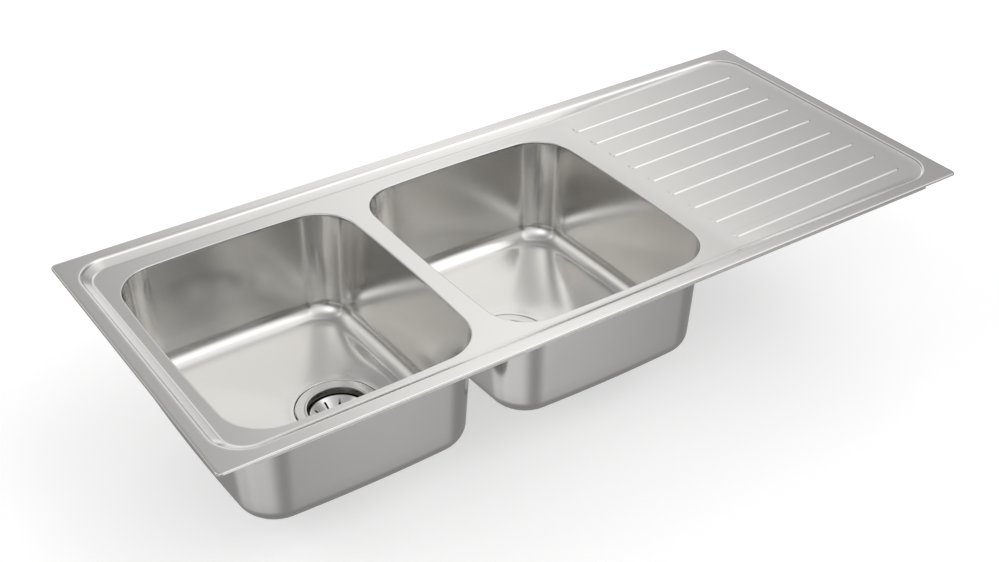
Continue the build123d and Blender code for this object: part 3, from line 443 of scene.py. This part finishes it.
rib_path, rib_normal = rounded_path(RIB_HALF_X, RIB_HALF_Y, RIB_CORNER, corner_steps=8, side_steps=12)
rib_line = rounded_line([(RIB_MARGINS[0], 0.0), (0.0, 0.0), (RIB_RUN, RIB_HEIGHT),
                         (RIB_CROWNS[1], RIB_HEIGHT)], RIB_ROUNDS, steps=6)
rib_line = np.insert(rib_line, 1, (RIB_MARGINS[1], 0.0), axis=0)
rib_line = np.insert(rib_line, -1, (RIB_CROWNS[0], RIB_HEIGHT), axis=0)
for index in range(RIB_COUNT):
    middle = np.array((RIB_MIDDLE, RIB_ROW_CENTRE + (index - (RIB_COUNT - 1) / 2) * RIB_PITCH))
    rings = []
    for inset, level in rib_line:
        ring = middle + rib_path - inset * rib_normal
        rings.append(np.column_stack([ring, drainer_level(ring[:, 0]) + level]))
    deck_points.append(np.concatenate(rings))
    deck_faces.append(ring_faces(len(rings), len(rib_path), start))
    start += len(rings) * len(rib_path)
    fill_loops += [(rings[0], "hole"), (rings[-1], "keep")]

# the level sheet between the loops is filled with triangles that use the loops' own points, and three rows
# of points across it carry the bend at the drainer's start
bend_y = np.linspace(-BEND_HALF, BEND_HALF, BEND_POINTS)
bend_lines = [np.column_stack([np.full(BEND_POINTS, x), bend_y, np.full(BEND_POINTS, drainer_level(x))])
              for x in DRAINER_START + np.array((-BEND_REACH, 0.0, BEND_REACH))]
flat_points = np.concatenate([loop for loop, _ in fill_loops] + bend_lines)
flat_edges, first = [], 0
for loop, _ in fill_loops:
    index = np.arange(len(loop))
    flat_edges += np.column_stack([first + index, first + (index + 1) % len(loop)]).tolist()
    first += len(loop)
for line in bend_lines:
    index = np.arange(len(line) - 1)
    flat_edges += np.column_stack([first + index, first + index + 1]).tolist()
    first += len(line)
flat = delaunay_2d_cdt([Vector(p[:2]) for p in flat_points], flat_edges, [], 0, FILL_TOLERANCE)
flat_xy = np.array([tuple(p) for p in flat[0]])
flat_faces = np.array(flat[2])
origins = np.array([ids[0] if ids else -1 for ids in flat[3]])
flat_z = np.where(origins >= 0, flat_points[origins, 2], drainer_level(flat_xy[:, 0]))


def inside(loop, points):
    """True for the points inside a closed loop: a ray to +X crosses it an odd number of times."""
    a, b = loop[:, :2], np.roll(loop[:, :2], -1, axis=0)
    x, y = points[:, 0, None], points[:, 1, None]
    spans = (a[:, 1] > y) != (b[:, 1] > y)
    rise = np.where(a[:, 1] == b[:, 1], 1.0, b[:, 1] - a[:, 1])
    crossing = a[:, 0] + (y - a[:, 1]) / rise * (b[:, 0] - a[:, 0])
    return (spans & (x < crossing)).sum(axis=1) % 2 == 1


middles = flat_xy[flat_faces].mean(axis=1)
kept = np.zeros(len(flat_faces), bool)
for loop, use in fill_loops:
    kept[inside(loop, middles)] = use == "keep"
deck_points.append(np.column_stack([flat_xy, flat_z]))
deck_faces.append(flat_faces[kept] + start)
all_faces = [face for block in deck_faces for face in block.tolist()]
shell("pressed_deck", np.concatenate(deck_points), all_faces, SHEET, deck_steel, ["deck"])

# ------------------------------------------------------------------------------ bowls
# Each bowl is deep-drawn from 1 mm sheet: drafted walls, a wide round foot, and a floor that falls to the
# waste's sunk seat. It is welded under the deck's neck, and the seam is ground flush.

BOWL_FLOOR = -167.0
FLOOR_ROUND, FLOOR_MARGIN = 27.0, 34.0
FLOOR_FALL = 6.0
WALL_ROWS, FLOOR_ROWS = 9, 17
WASTE_OFFSET = {"left": np.array((47.0, -13.0)), "right": np.array((-47.0, -13.0))}
APRON_RADIUS = 66.0
SEAT_RADIUS, SEAT_RUN, SEAT_DEPTH, WASTE_HOLE = 58.5, 0.8, 2.3, 45.0
SEAT_ROUNDS = [1.2, 0.8]
WASTE_CENTRES = {side: BOWL_CENTRES[side] + WASTE_OFFSET[side] for side in BOWL_CENTRES}
WASTE_LEVEL = BOWL_FLOOR - FLOOR_FALL
bowl_steel = finish_material("satin_bowl_steel", rolled_grain, {
    "Tint": PRESSED_TINT, "Mottle": 0.03, "Base Roughness": 0.17, "Spread": 0.03,
    "Lines": (1600.0, 1600.0, 1600.0)}, metallic=1.0, bump=PRESSED_GRAIN)
for side, centre in BOWL_CENTRES.items():
    wall_run = (DECK - BOWL_FLOOR) * WALL_SLOPE
    wall = rounded_line([(NECK_DROP * WALL_SLOPE, SEAM), (wall_run, BOWL_FLOOR),
                         (wall_run + FLOOR_MARGIN, BOWL_FLOOR)], [FLOOR_ROUND], steps=14)
    wall = np.concatenate([np.linspace(wall[0], wall[1], WALL_ROWS)[:-1], wall[1:-1]])
    rings = [np.column_stack([centre + mouth_path - inset * mouth_normal, np.full(len(mouth_path), level)])
             for inset, level in wall]
    foot = rings[-1]
    waste = WASTE_CENTRES[side]
    spoke = foot[:, :2] - waste
    spoke /= np.linalg.norm(spoke, axis=1)[:, None]

    # the floor leaves the foot level and falls faster towards the seat: share squared times 1.6 - 0.6 share
    for share in np.linspace(0.0, 1.0, FLOOR_ROWS)[1:]:
        ring = foot[:, :2] * (1 - share) + (waste + APRON_RADIUS * spoke) * share
        fall = FLOOR_FALL * (share * share * (1.6 - 0.6 * share))
        rings.append(np.column_stack([ring, BOWL_FLOOR - np.full(len(ring), fall)]))
    seat = rounded_line([(APRON_RADIUS, 0.0), (SEAT_RADIUS + SEAT_RUN, 0.0), (SEAT_RADIUS, -SEAT_DEPTH),
                         (WASTE_HOLE, -SEAT_DEPTH)], SEAT_ROUNDS, steps=4)
    for radius, level in seat[1:]:
        rings.append(np.column_stack([waste + radius * spoke, np.full(len(spoke), WASTE_LEVEL + level)]))
    shell(f"{side}_drawn_bowl", np.concatenate(rings), ring_faces(len(rings), len(mouth_path)).tolist(),
          SHEET, bowl_steel, [f"{side}_bowl"])

# ------------------------------------------------------------------------------ sound-deadening pads
# Sheets of bitumen, 2 mm thick, are stuck under the drainer and under both bowls' floors. Their surface is
# matt and slightly pitted.

# fine grains over broad clouds, for every moulded, foamed or rolled surface that isn't metal
speckled, add, link, given, result = node_group(
    "speckled", FINISH_INPUTS + [("Grains", "Float", 900.0)], FINISH_OUTPUTS)
place = add("ShaderNodeTexCoord")
grains = add("ShaderNodeTexNoise", {"Detail": 3.0, "Roughness": 0.6})
link(place.outputs["Object"], grains.inputs["Vector"])
link(given["Grains"], grains.inputs["Scale"])
clouds = add("ShaderNodeTexNoise", {"Scale": 22.0, "Detail": 2.0})
link(place.outputs["Object"], clouds.inputs["Vector"])
finish_outputs(add, link, given, result, grains.outputs["Fac"], clouds.outputs["Fac"])


def dress(names, material):
    """Gives a material to pieces that come over from the CAD model as they are."""
    for name in names:
        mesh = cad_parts[name].data
        mesh.materials.clear()
        mesh.materials.append(material)


dress(["left_bowl_pad", "right_bowl_pad", "drainer_pad"], finish_material("bitumen_sheet", speckled, {
    "Tint": (0.045, 0.045, 0.048, 1.0), "Mottle": 0.5, "Base Roughness": 0.78, "Spread": 0.15,
    "Grains": 500.0}, metallic=0.0, bump=0.0002))

# ------------------------------------------------------------------------------ clip rails
# Four folded channels of zinc-coated steel are spot-welded under the rim. The worktop clips hook into them.

zinc = bpy.data.materials.new("zinc_coat")
zinc.use_nodes = True
surface = zinc.node_tree.nodes["Principled BSDF"]
surface.inputs["Metallic"].default_value = 1.0
add, link = node_maker(zinc.node_tree), zinc.node_tree.links.new
place = add("ShaderNodeTexCoord")
spangles = add("ShaderNodeTexVoronoi", {"Scale": 240.0})
link(place.outputs["Object"], spangles.inputs["Vector"])
facet = add("ShaderNodeSeparateColor")
link(spangles.outputs["Color"], facet.inputs[0])
tone = add("ShaderNodeMapRange", {"To Min": 0.56, "To Max": 0.64})
link(facet.outputs[0], tone.inputs["Value"])
tint = add("ShaderNodeCombineColor")
for channel in range(3):
    link(tone.outputs["Result"], tint.inputs[channel])
link(tint.outputs[0], surface.inputs["Base Color"])
dullness = add("ShaderNodeMapRange", {"To Min": 0.32, "To Max": 0.38})
link(facet.outputs[1], dullness.inputs["Value"])
link(dullness.outputs["Result"], surface.inputs["Roughness"])
dress([f"{side}_clip_rail" for side in ("front", "rear", "left", "right")], zinc)

# ------------------------------------------------------------------------------ rim seal
# A strip of dark closed-cell foam runs round under the rim and is pressed flat when the sink is fitted.

dress(["rim_seal"], finish_material("foam_strip", speckled, {
    "Tint": (0.05, 0.05, 0.053, 1.0), "Mottle": 0.6, "Base Roughness": 0.85, "Spread": 0.1,
    "Grains": 1400.0}, metallic=0.0, bump=0.0001))

# ------------------------------------------------------------------------------ earth bonding
# A steel tag is spot-welded under the rear ledge. Its screw and nut hold the earth wire's ring.

dress(["earth_tag"], deck_steel)
fastener = finish_material("fastener_steel", speckled, {
    "Tint": (0.56, 0.56, 0.55, 1.0), "Mottle": 0.08, "Base Roughness": 0.30, "Spread": 0.08,
    "Grains": 1500.0}, metallic=1.0, bump=0.00001)
dress(["earth_screw", "earth_nut"], fastener)

# ------------------------------------------------------------------------------ waste dishes
# Each waste has a bright dish pressed from 0.8 mm steel: a flange with a bead that stands on a rubber ring
# in the bowl's seat, a bore, a conical seat for the basket's seal, and a floor with six arched slots.

SIDES = ("left", "right")
TURN_STEPS = 96
DISH_SHEET = 0.8
DISH_FLANGE, DISH_BEAD, DISH_BORE, DISH_CUP, DISH_FLOOR = 57.3, 45.6, 41.6, 37.0, -36.0
DISH_SLOTS, DISH_SLOT_INNER, DISH_SLOT_OUTER, DISH_WEB = 6, 15.0, 29.0, 7.0
DISH_EDGE, DISH_FLANGE_TOP, DISH_TOP, DISH_CONE, DISH_CONE_END = -0.5, 0.3, 0.55, -14.0, -22.0
DISH_ROUNDS = [0.4, 1.5, 0.9, 1.7, 3.0, 2.5, 4.0]
SCREW_HOLE, SCREW_RINGS = 3.3, [12.0, 8.0]

# turning and polishing leave fine rings about the waste's axis: noise on the distance from that axis
turned_grain, add, link, given, result = node_group(
    "turned_grain", FINISH_INPUTS + [("Centre", "Vector", (0.0, 0.0, 0.0)), ("Rings", "Float", 2500.0)],
    FINISH_OUTPUTS + [("Reach", "Float")])
place = add("ShaderNodeTexCoord")
offset = add("ShaderNodeVectorMath", operation="SUBTRACT")
link(place.outputs["Object"], offset.inputs[0])
link(given["Centre"], offset.inputs[1])
parts = add("ShaderNodeSeparateXYZ")
link(offset.outputs["Vector"], parts.inputs[0])
level_ground = add("ShaderNodeCombineXYZ")
link(parts.outputs["X"], level_ground.inputs["X"])
link(parts.outputs["Y"], level_ground.inputs["Y"])
reach = add("ShaderNodeVectorMath", operation="LENGTH")
link(level_ground.outputs[0], reach.inputs[0])
ring_place = add("ShaderNodeCombineXYZ")
link(reach.outputs["Value"], ring_place.inputs["X"])
link(reach.outputs["Value"], result["Reach"])
link(parts.outputs["Z"], ring_place.inputs["Y"])
rings_noise = add("ShaderNodeTexNoise", {"Detail": 2.0})
link(ring_place.outputs[0], rings_noise.inputs["Vector"])
link(given["Rings"], rings_noise.inputs["Scale"])
clouds = add("ShaderNodeTexNoise", {"Scale": 60.0, "Detail": 2.0})
link(place.outputs["Object"], clouds.inputs["Vector"])
finish_outputs(add, link, given, result, rings_noise.outputs["Fac"], clouds.outputs["Fac"])
waste_steel = {side: finish_material(f"{side}_waste_steel", turned_grain, {
    "Tint": (0.64, 0.634, 0.62, 1.0), "Mottle": 0.04, "Base Roughness": 0.20, "Spread": 0.05,
    "Centre": (*(WASTE_CENTRES[side] / 1000.0), 0.0)}, metallic=1.0, bump=0.000001) for side in SIDES}

# painted shade: the dish's steel is darkened on the drawn wall of its bore, between the bead and the basket,
# in place of the dark seal and gap that this wall mirrors
BORE_BAND, BORE_SHADE = 0.0011, 0.62
dish_steel_painted_shade = {}
for side in SIDES:
    dish_steel_painted_shade[side] = waste_steel[side].copy()
    dish_steel_painted_shade[side].name = f"{side}_dish_steel_painted_shade"
    nodes = dish_steel_painted_shade[side].node_tree.nodes
    add, link = node_maker(dish_steel_painted_shade[side].node_tree), dish_steel_painted_shade[side].node_tree.links.new
    effect = next(node for node in nodes if node.type == "GROUP")
    # painted shade: a narrow band about the bore's radius scales the steel's colour down
    band = add("ShaderNodeMath", {1: DISH_BORE / 1000.0, 2: BORE_BAND}, operation="COMPARE")
    link(effect.outputs["Reach"], band.inputs[0])
    shade = add("ShaderNodeMath", {1: -BORE_SHADE, 2: 1.0}, operation="MULTIPLY_ADD")
    link(band.outputs[0], shade.inputs[0])
    shaded = add("ShaderNodeVectorMath", operation="SCALE")
    link(effect.outputs["Color"], shaded.inputs[0])
    link(shade.outputs[0], shaded.inputs["Scale"])
    link(shaded.outputs["Vector"], nodes["Principled BSDF"].inputs["Base Color"])


def turned(profile, angles, centre):
    """A profile of (radius, level) turned about the waste's axis: x and y are the radius times the cosine
    and sine of the angle. The angles may be one row for all radii, or a row for each."""
    radius, level = np.asarray(profile, float).T
    angles = np.broadcast_to(angles, (len(radius), np.shape(angles)[-1]))
    x, y = radius[:, None] * np.cos(angles), radius[:, None] * np.sin(angles)
    z = np.broadcast_to((WASTE_LEVEL + level)[:, None], x.shape)
    return np.stack([centre[0] + x, centre[1] + y, z], axis=-1).reshape(-1, 3)


even_angles = np.arange(TURN_STEPS) * 2 * np.pi / TURN_STEPS
dish_line = rounded_line([
    (DISH_FLANGE, DISH_EDGE), (DISH_FLANGE, DISH_FLANGE_TOP), (DISH_BEAD, DISH_EDGE),
    (DISH_BEAD - 1.0, DISH_TOP), (DISH_BORE, DISH_TOP), (DISH_BORE, DISH_CONE), (DISH_CUP, DISH_CONE_END),
    (DISH_CUP, DISH_FLOOR), (DISH_SLOT_OUTER + 1.0, DISH_FLOOR)], DISH_ROUNDS, steps=8)
floor_radii = np.concatenate([[DISH_SLOT_OUTER], np.linspace(DISH_SLOT_OUTER, DISH_SLOT_INNER, 8)[1:],
                              SCREW_RINGS, [SCREW_HOLE]])
dish_line = np.concatenate([dish_line, np.column_stack([floor_radii, np.full(len(floor_radii), DISH_FLOOR)])])

# an arched slot lies between two webs, whose half angle at a radius is asin(half web / radius)
WEB_STEPS, SLOT_STEPS = 4, 12
half_web = np.arcsin(DISH_WEB / 2 / np.clip(dish_line[:, 0], DISH_SLOT_INNER, DISH_SLOT_OUTER))[:, None]
sector = 2 * np.pi / DISH_SLOTS
web_part = half_web * np.linspace(-1.0, 1.0, WEB_STEPS + 1)[:-1]
slot_part = half_web + (sector - 2 * half_web) * np.linspace(0.0, 1.0, SLOT_STEPS + 1)[:-1]
one_sector = np.concatenate([web_part, slot_part], axis=1)
dish_angles = np.concatenate([one_sector + sector * index for index in range(DISH_SLOTS)], axis=1)
dish_faces = ring_faces(len(dish_line), dish_angles.shape[1])
face_row, face_column = np.divmod(np.arange(len(dish_faces)), dish_angles.shape[1])
row_middle = (dish_line[:-1, 0] + dish_line[1:, 0])[face_row] / 2
on_floor = np.isclose(dish_line[1:, 1][face_row], DISH_FLOOR)
in_slot = on_floor & (row_middle < DISH_SLOT_OUTER) & (row_middle > DISH_SLOT_INNER) & (
    face_column % (WEB_STEPS + SLOT_STEPS) >= WEB_STEPS)
rubber = finish_material("black_rubber", speckled, {
    "Tint": (0.018, 0.018, 0.019, 1.0), "Mottle": 0.3, "Base Roughness": 0.52, "Spread": 0.08,
    "Grains": 700.0}, metallic=0.0, bump=0.00003)
for side in SIDES:
    shell(f"{side}_pressed_dish", turned(dish_line, dish_angles, WASTE_CENTRES[side]),
          dish_faces[~in_slot].tolist(), DISH_SHEET, dish_steel_painted_shade[side], [f"{side}_waste_dish"])
    dress([f"{side}_flange_gasket", f"{side}_body_gasket"], rubber)

# ------------------------------------------------------------------------------ waste bodies
# A moulded body of white polypropylene hangs under each bowl: a ribbed collar, a cup, and a threaded outlet
# for the trap. One screw in a brass insert, in a boss on three arms, clamps it all together.

BODY_TOP, BODY_OUTER, BODY_BORE, BODY_WALL = -5.3, 47.2, 44.6, 1.3
COLLAR, COLLAR_OUTER = 5.0, 56.0
CUP_FLOOR, FUNNEL_FLOOR, SHOULDER_FLOOR, OUTLET_END = -39.3, -50.3, -56.3, -80.3
SHOULDER, OUTLET_OUTER, OUTLET_BORE = 28.0, 23.9, 20.4
BODY_ROUNDS = [1.0, 2.5, 1.2, 0.9, 0.9, 0.4, 2.0, 2.0, 0.6]
THREAD_PITCH, THREAD_DEPTH, THREAD_ROWS, THREAD_START = 2.309, 1.3, 80, 0.5
THREAD_FADES = (0.1, 0.15)
BOSS, BOSS_TOP, BOSS_FLOOR = 7.5, -37.1, -60.1
BOSS_ROUNDS = [0.8, 0.8, 0.3]
BAR_ROUND = 0.7
COLLAR_RIBS, COLLAR_RIB = 8, (2.6, -20.3, -7.8, 45.9, 51.6)  # width, low, high, start, end
BOSS_ARMS, BOSS_ARM = 3, (3.2, BOSS_FLOOR, FUNNEL_FLOOR, 5.0, 21.7)
white_plastic = finish_material("white_polypropylene", speckled, {
    "Tint": (0.78, 0.78, 0.76, 1.0), "Mottle": 0.04, "Base Roughness": 0.42, "Spread": 0.08,
    "Grains": 800.0}, metallic=0.0, bump=0.00002)

body_line = rounded_line([
    (SHOULDER, SHOULDER_FLOOR), (SHOULDER, FUNNEL_FLOOR), (BODY_OUTER, CUP_FLOOR - BODY_WALL),
    (BODY_OUTER, BODY_TOP - COLLAR), (COLLAR_OUTER, BODY_TOP - COLLAR), (COLLAR_OUTER, BODY_TOP),
    (BODY_BORE, BODY_TOP), (BODY_BORE, CUP_FLOOR), (OUTLET_BORE, FUNNEL_FLOOR), (OUTLET_BORE, OUTLET_END),
    (OUTLET_OUTER - THREAD_DEPTH, OUTLET_END)], BODY_ROUNDS, steps=6)
thread_levels = np.linspace(OUTLET_END + THREAD_START, SHOULDER_FLOOR, THREAD_ROWS)
thread_line = np.column_stack([np.full(THREAD_ROWS, OUTLET_OUTER), thread_levels])
body_line = np.concatenate([body_line, thread_line, body_line[:1]])


def with_thread(points, centre, first, count):
    """Cuts a screw thread into rows of a turned surface. The cut is the thread's depth times a cosine of
    level over pitch less angle over a full turn, and it fades out at both ends of the outlet."""
    rows = points.reshape(-1, TURN_STEPS, 3)[first:first + count]
    angles = np.arctan2(rows[..., 1] - centre[1], rows[..., 0] - centre[0])
    turns = rows[..., 2] / THREAD_PITCH - angles / (2 * np.pi)
    share = np.linspace(0.0, 1.0, count)[:, None]
    runout = np.clip(share / THREAD_FADES[0], 0.0, 1.0) * np.clip((1 - share) / THREAD_FADES[1], 0.0, 1.0)
    cut = THREAD_DEPTH * (1.0 - (0.5 + 0.5 * np.cos(2 * np.pi * turns)) * runout)
    cut[-1] = 0.0
    shrink = 1.0 - cut / OUTLET_OUTER
    rows[..., 0] = centre[0] + (rows[..., 0] - centre[0]) * shrink
    rows[..., 1] = centre[1] + (rows[..., 1] - centre[1]) * shrink
    return points


def spoke_bar(width, low, high, start, end, angle, centre):
    """A bar that runs outwards: a rounded rectangle across and up, carried along a radius and turned."""
    outline = rounded_path(width / 2, (high - low) / 2, BAR_ROUND, corner_steps=4, side_steps=2)[0]
    run = np.array((start, end))[:, None]
    across, up = outline[:, 0], outline[:, 1] + (low + high) / 2
    x = run * np.cos(angle) - across * np.sin(angle) + centre[0]
    y = run * np.sin(angle) + across * np.cos(angle) + centre[1]
    points = np.stack([x, y, np.broadcast_to(WASTE_LEVEL + up, x.shape)], axis=-1).reshape(-1, 3)
    count = len(outline)
    faces = ring_faces(2, count).tolist() + [list(range(count))[::-1], list(range(count, 2 * count))]
    return points, faces


for side in SIDES:
    centre = WASTE_CENTRES[side]
    points = turned(body_line, even_angles, centre)
    points = with_thread(points, centre, len(body_line) - 1 - THREAD_ROWS, THREAD_ROWS)
    boss_line = rounded_line([(SCREW_HOLE, BOSS_FLOOR), (BOSS, BOSS_FLOOR), (BOSS, BOSS_TOP),
                              (SCREW_HOLE, BOSS_TOP), (SCREW_HOLE, BOSS_FLOOR)], BOSS_ROUNDS, steps=4)
    blocks = [(points, ring_faces(len(body_line), TURN_STEPS).tolist()),
              (turned(boss_line, even_angles, centre), ring_faces(len(boss_line), TURN_STEPS).tolist())]
    for bar_count, bar in ((COLLAR_RIBS, COLLAR_RIB), (BOSS_ARMS, BOSS_ARM)):
        blocks += [spoke_bar(*bar, 2 * np.pi / bar_count * index, centre) for index in range(bar_count)]
    starts = np.cumsum([0] + [len(block[0]) for block in blocks])
    faces = [[corner + first for corner in face]
             for (_, part), first in zip(blocks, starts) for face in part]
    shell(f"{side}_moulded_body", np.concatenate([block[0] for block in blocks]), faces, 0.0,
          white_plastic, [f"{side}_waste_body"])
    dress([f"{side}_screw_insert"], finish_material(f"{side}_turned_brass", turned_grain, {
        "Tint": (0.66, 0.49, 0.20, 1.0), "Mottle": 0.06, "Base Roughness": 0.30, "Spread": 0.06,
        "Centre": (*(centre / 1000.0), 0.0)}, metallic=1.0, bump=0.00001))
    dress([f"{side}_body_screw"], fastener)

# ------------------------------------------------------------------------------ strainer baskets
# The baskets lift out. Each is a 0.6 mm steel cup with a rolled rim and ten radial slots, with a rubber ring
# under its rim, a turned knob to hold it by, and a pin whose foot stands on the clamping screw.

BASKET_SHEET = 0.6
BASKET_RIM, BASKET_RIM_LEVEL, BASKET_BEAD = 39.5, -10.9, 0.9
BEAD_START, BEAD_END, BEAD_POINTS = -75.0, 125.4, 15  # degrees about the bead's centre
BASKET_FOOT, BASKET_FLOOR, BASKET_ROUND = 20.0, -23.5, 6.0
BASKET_SLOTS, BASKET_SLOT_HALF, BASKET_SLOT_INNER, BASKET_SLOT_OUTER = 10, 1.5, 18.5, 34.5
BASKET_FIRST_SLOT = np.radians(24.0)
LAND_STEPS = 9
STEM_HOLE = 3.1
SEAL_OUTLINE = [(39.2, -12.0), (38.2, -13.4), (40.6, -13.4), (41.4, -11.6), (40.9, -11.3)]
SEAL_ROUNDS = [0.4, 0.4, 0.3, 0.2]
KNOB, KNOB_NECK, KNOB_FOOT, KNOB_CAP, KNOB_TOP = 9.0, 5.0, 6.5, -12.5, -5.5
KNOB_GAP, KNOB_FOOT_TOP = 0.1, 1.6
KNOB_ROUNDS = [0.2, 1.5, 1.2, 0.9, 2.6]

bead_turn = np.radians(np.linspace(BEAD_START, BEAD_END, BEAD_POINTS))
bead_centre = BASKET_RIM - BASKET_BEAD
bead = np.column_stack([bead_centre + BASKET_BEAD * np.cos(bead_turn),
                        BASKET_RIM_LEVEL + BASKET_BEAD * np.sin(bead_turn)])
cone = rounded_line([bead[-1], (BASKET_FOOT, BASKET_FLOOR), (STEM_HOLE, BASKET_FLOOR)],
                    [BASKET_ROUND], steps=8)
end_turn = np.radians(np.linspace(0.0, 90.0, 7))
outer_end = BASKET_SLOT_OUTER - BASKET_SLOT_HALF * (1 - np.cos(end_turn))
inner_end = BASKET_SLOT_INNER + BASKET_SLOT_HALF * (1 - np.cos(end_turn[::-1]))
cup_radii = np.concatenate([np.linspace(bead[-1, 0], BASKET_SLOT_OUTER, 4)[1:-1], outer_end,
                            np.linspace(outer_end[-1], inner_end[0], 8)[1:-1], inner_end,
                            np.linspace(BASKET_SLOT_INNER, STEM_HOLE, 7)[1:]])
cup_levels = np.interp(cup_radii[::-1], cone[::-1, 0], cone[::-1, 1])[::-1]
cup_line = np.concatenate([bead, np.column_stack([cup_radii, cup_levels])])

# a slot's half width is even, and closes at both ends as a half circle does
from_end = np.minimum(BASKET_SLOT_OUTER - cup_line[:, 0], cup_line[:, 0] - BASKET_SLOT_INNER)
from_end = np.clip(from_end, 0.0, BASKET_SLOT_HALF)
slot_half = np.sqrt(np.maximum(BASKET_SLOT_HALF ** 2 - (BASKET_SLOT_HALF - from_end) ** 2, 0.0))
slot_angle = np.arcsin(slot_half / cup_line[:, 0])[:, None]
land = np.linspace(0.0, 1.0, LAND_STEPS + 1)
sector = 2 * np.pi / BASKET_SLOTS
one_land = slot_angle + (sector - 2 * slot_angle) * land
cup_angles = np.concatenate([BASKET_FIRST_SLOT + one_land + sector * index
                             for index in range(BASKET_SLOTS)], axis=1)
cup_faces = ring_faces(len(cup_line), cup_angles.shape[1])
cup_column = np.arange(len(cup_faces)) % cup_angles.shape[1]
cup_faces = cup_faces[cup_column % (LAND_STEPS + 1) != LAND_STEPS]

seal_line = rounded_line(SEAL_OUTLINE + SEAL_OUTLINE[:1], SEAL_ROUNDS, steps=4)
knob_line = rounded_line([(0.0, BASKET_FLOOR + KNOB_GAP), (KNOB_FOOT, BASKET_FLOOR + KNOB_GAP),
                          (KNOB_NECK, BASKET_FLOOR + KNOB_FOOT_TOP), (KNOB_NECK, KNOB_CAP),
                          (KNOB, KNOB_CAP), (KNOB, KNOB_TOP), (0.0, KNOB_TOP)], KNOB_ROUNDS, steps=6)
for side in SIDES:
    centre, strainer = WASTE_CENTRES[side], f"{side}_strainer"
    shell(f"{side}_basket_cup", turned(cup_line, cup_angles, centre), cup_faces.tolist(), BASKET_SHEET,
          waste_steel[side], [f"{side}_basket"], strainer)
    shell(f"{side}_basket_ring", turned(seal_line, even_angles, centre),
          ring_faces(len(seal_line), TURN_STEPS).tolist(), 0.0, rubber,
          [f"{side}_basket_seal"], strainer)
    shell(f"{side}_turned_knob", turned(knob_line, even_angles, centre),
          ring_faces(len(knob_line), TURN_STEPS).tolist(), 0.0, waste_steel[side],
          [f"{side}_basket_knob"], strainer)
    dress([f"{side}_basket_stem"], fastener)
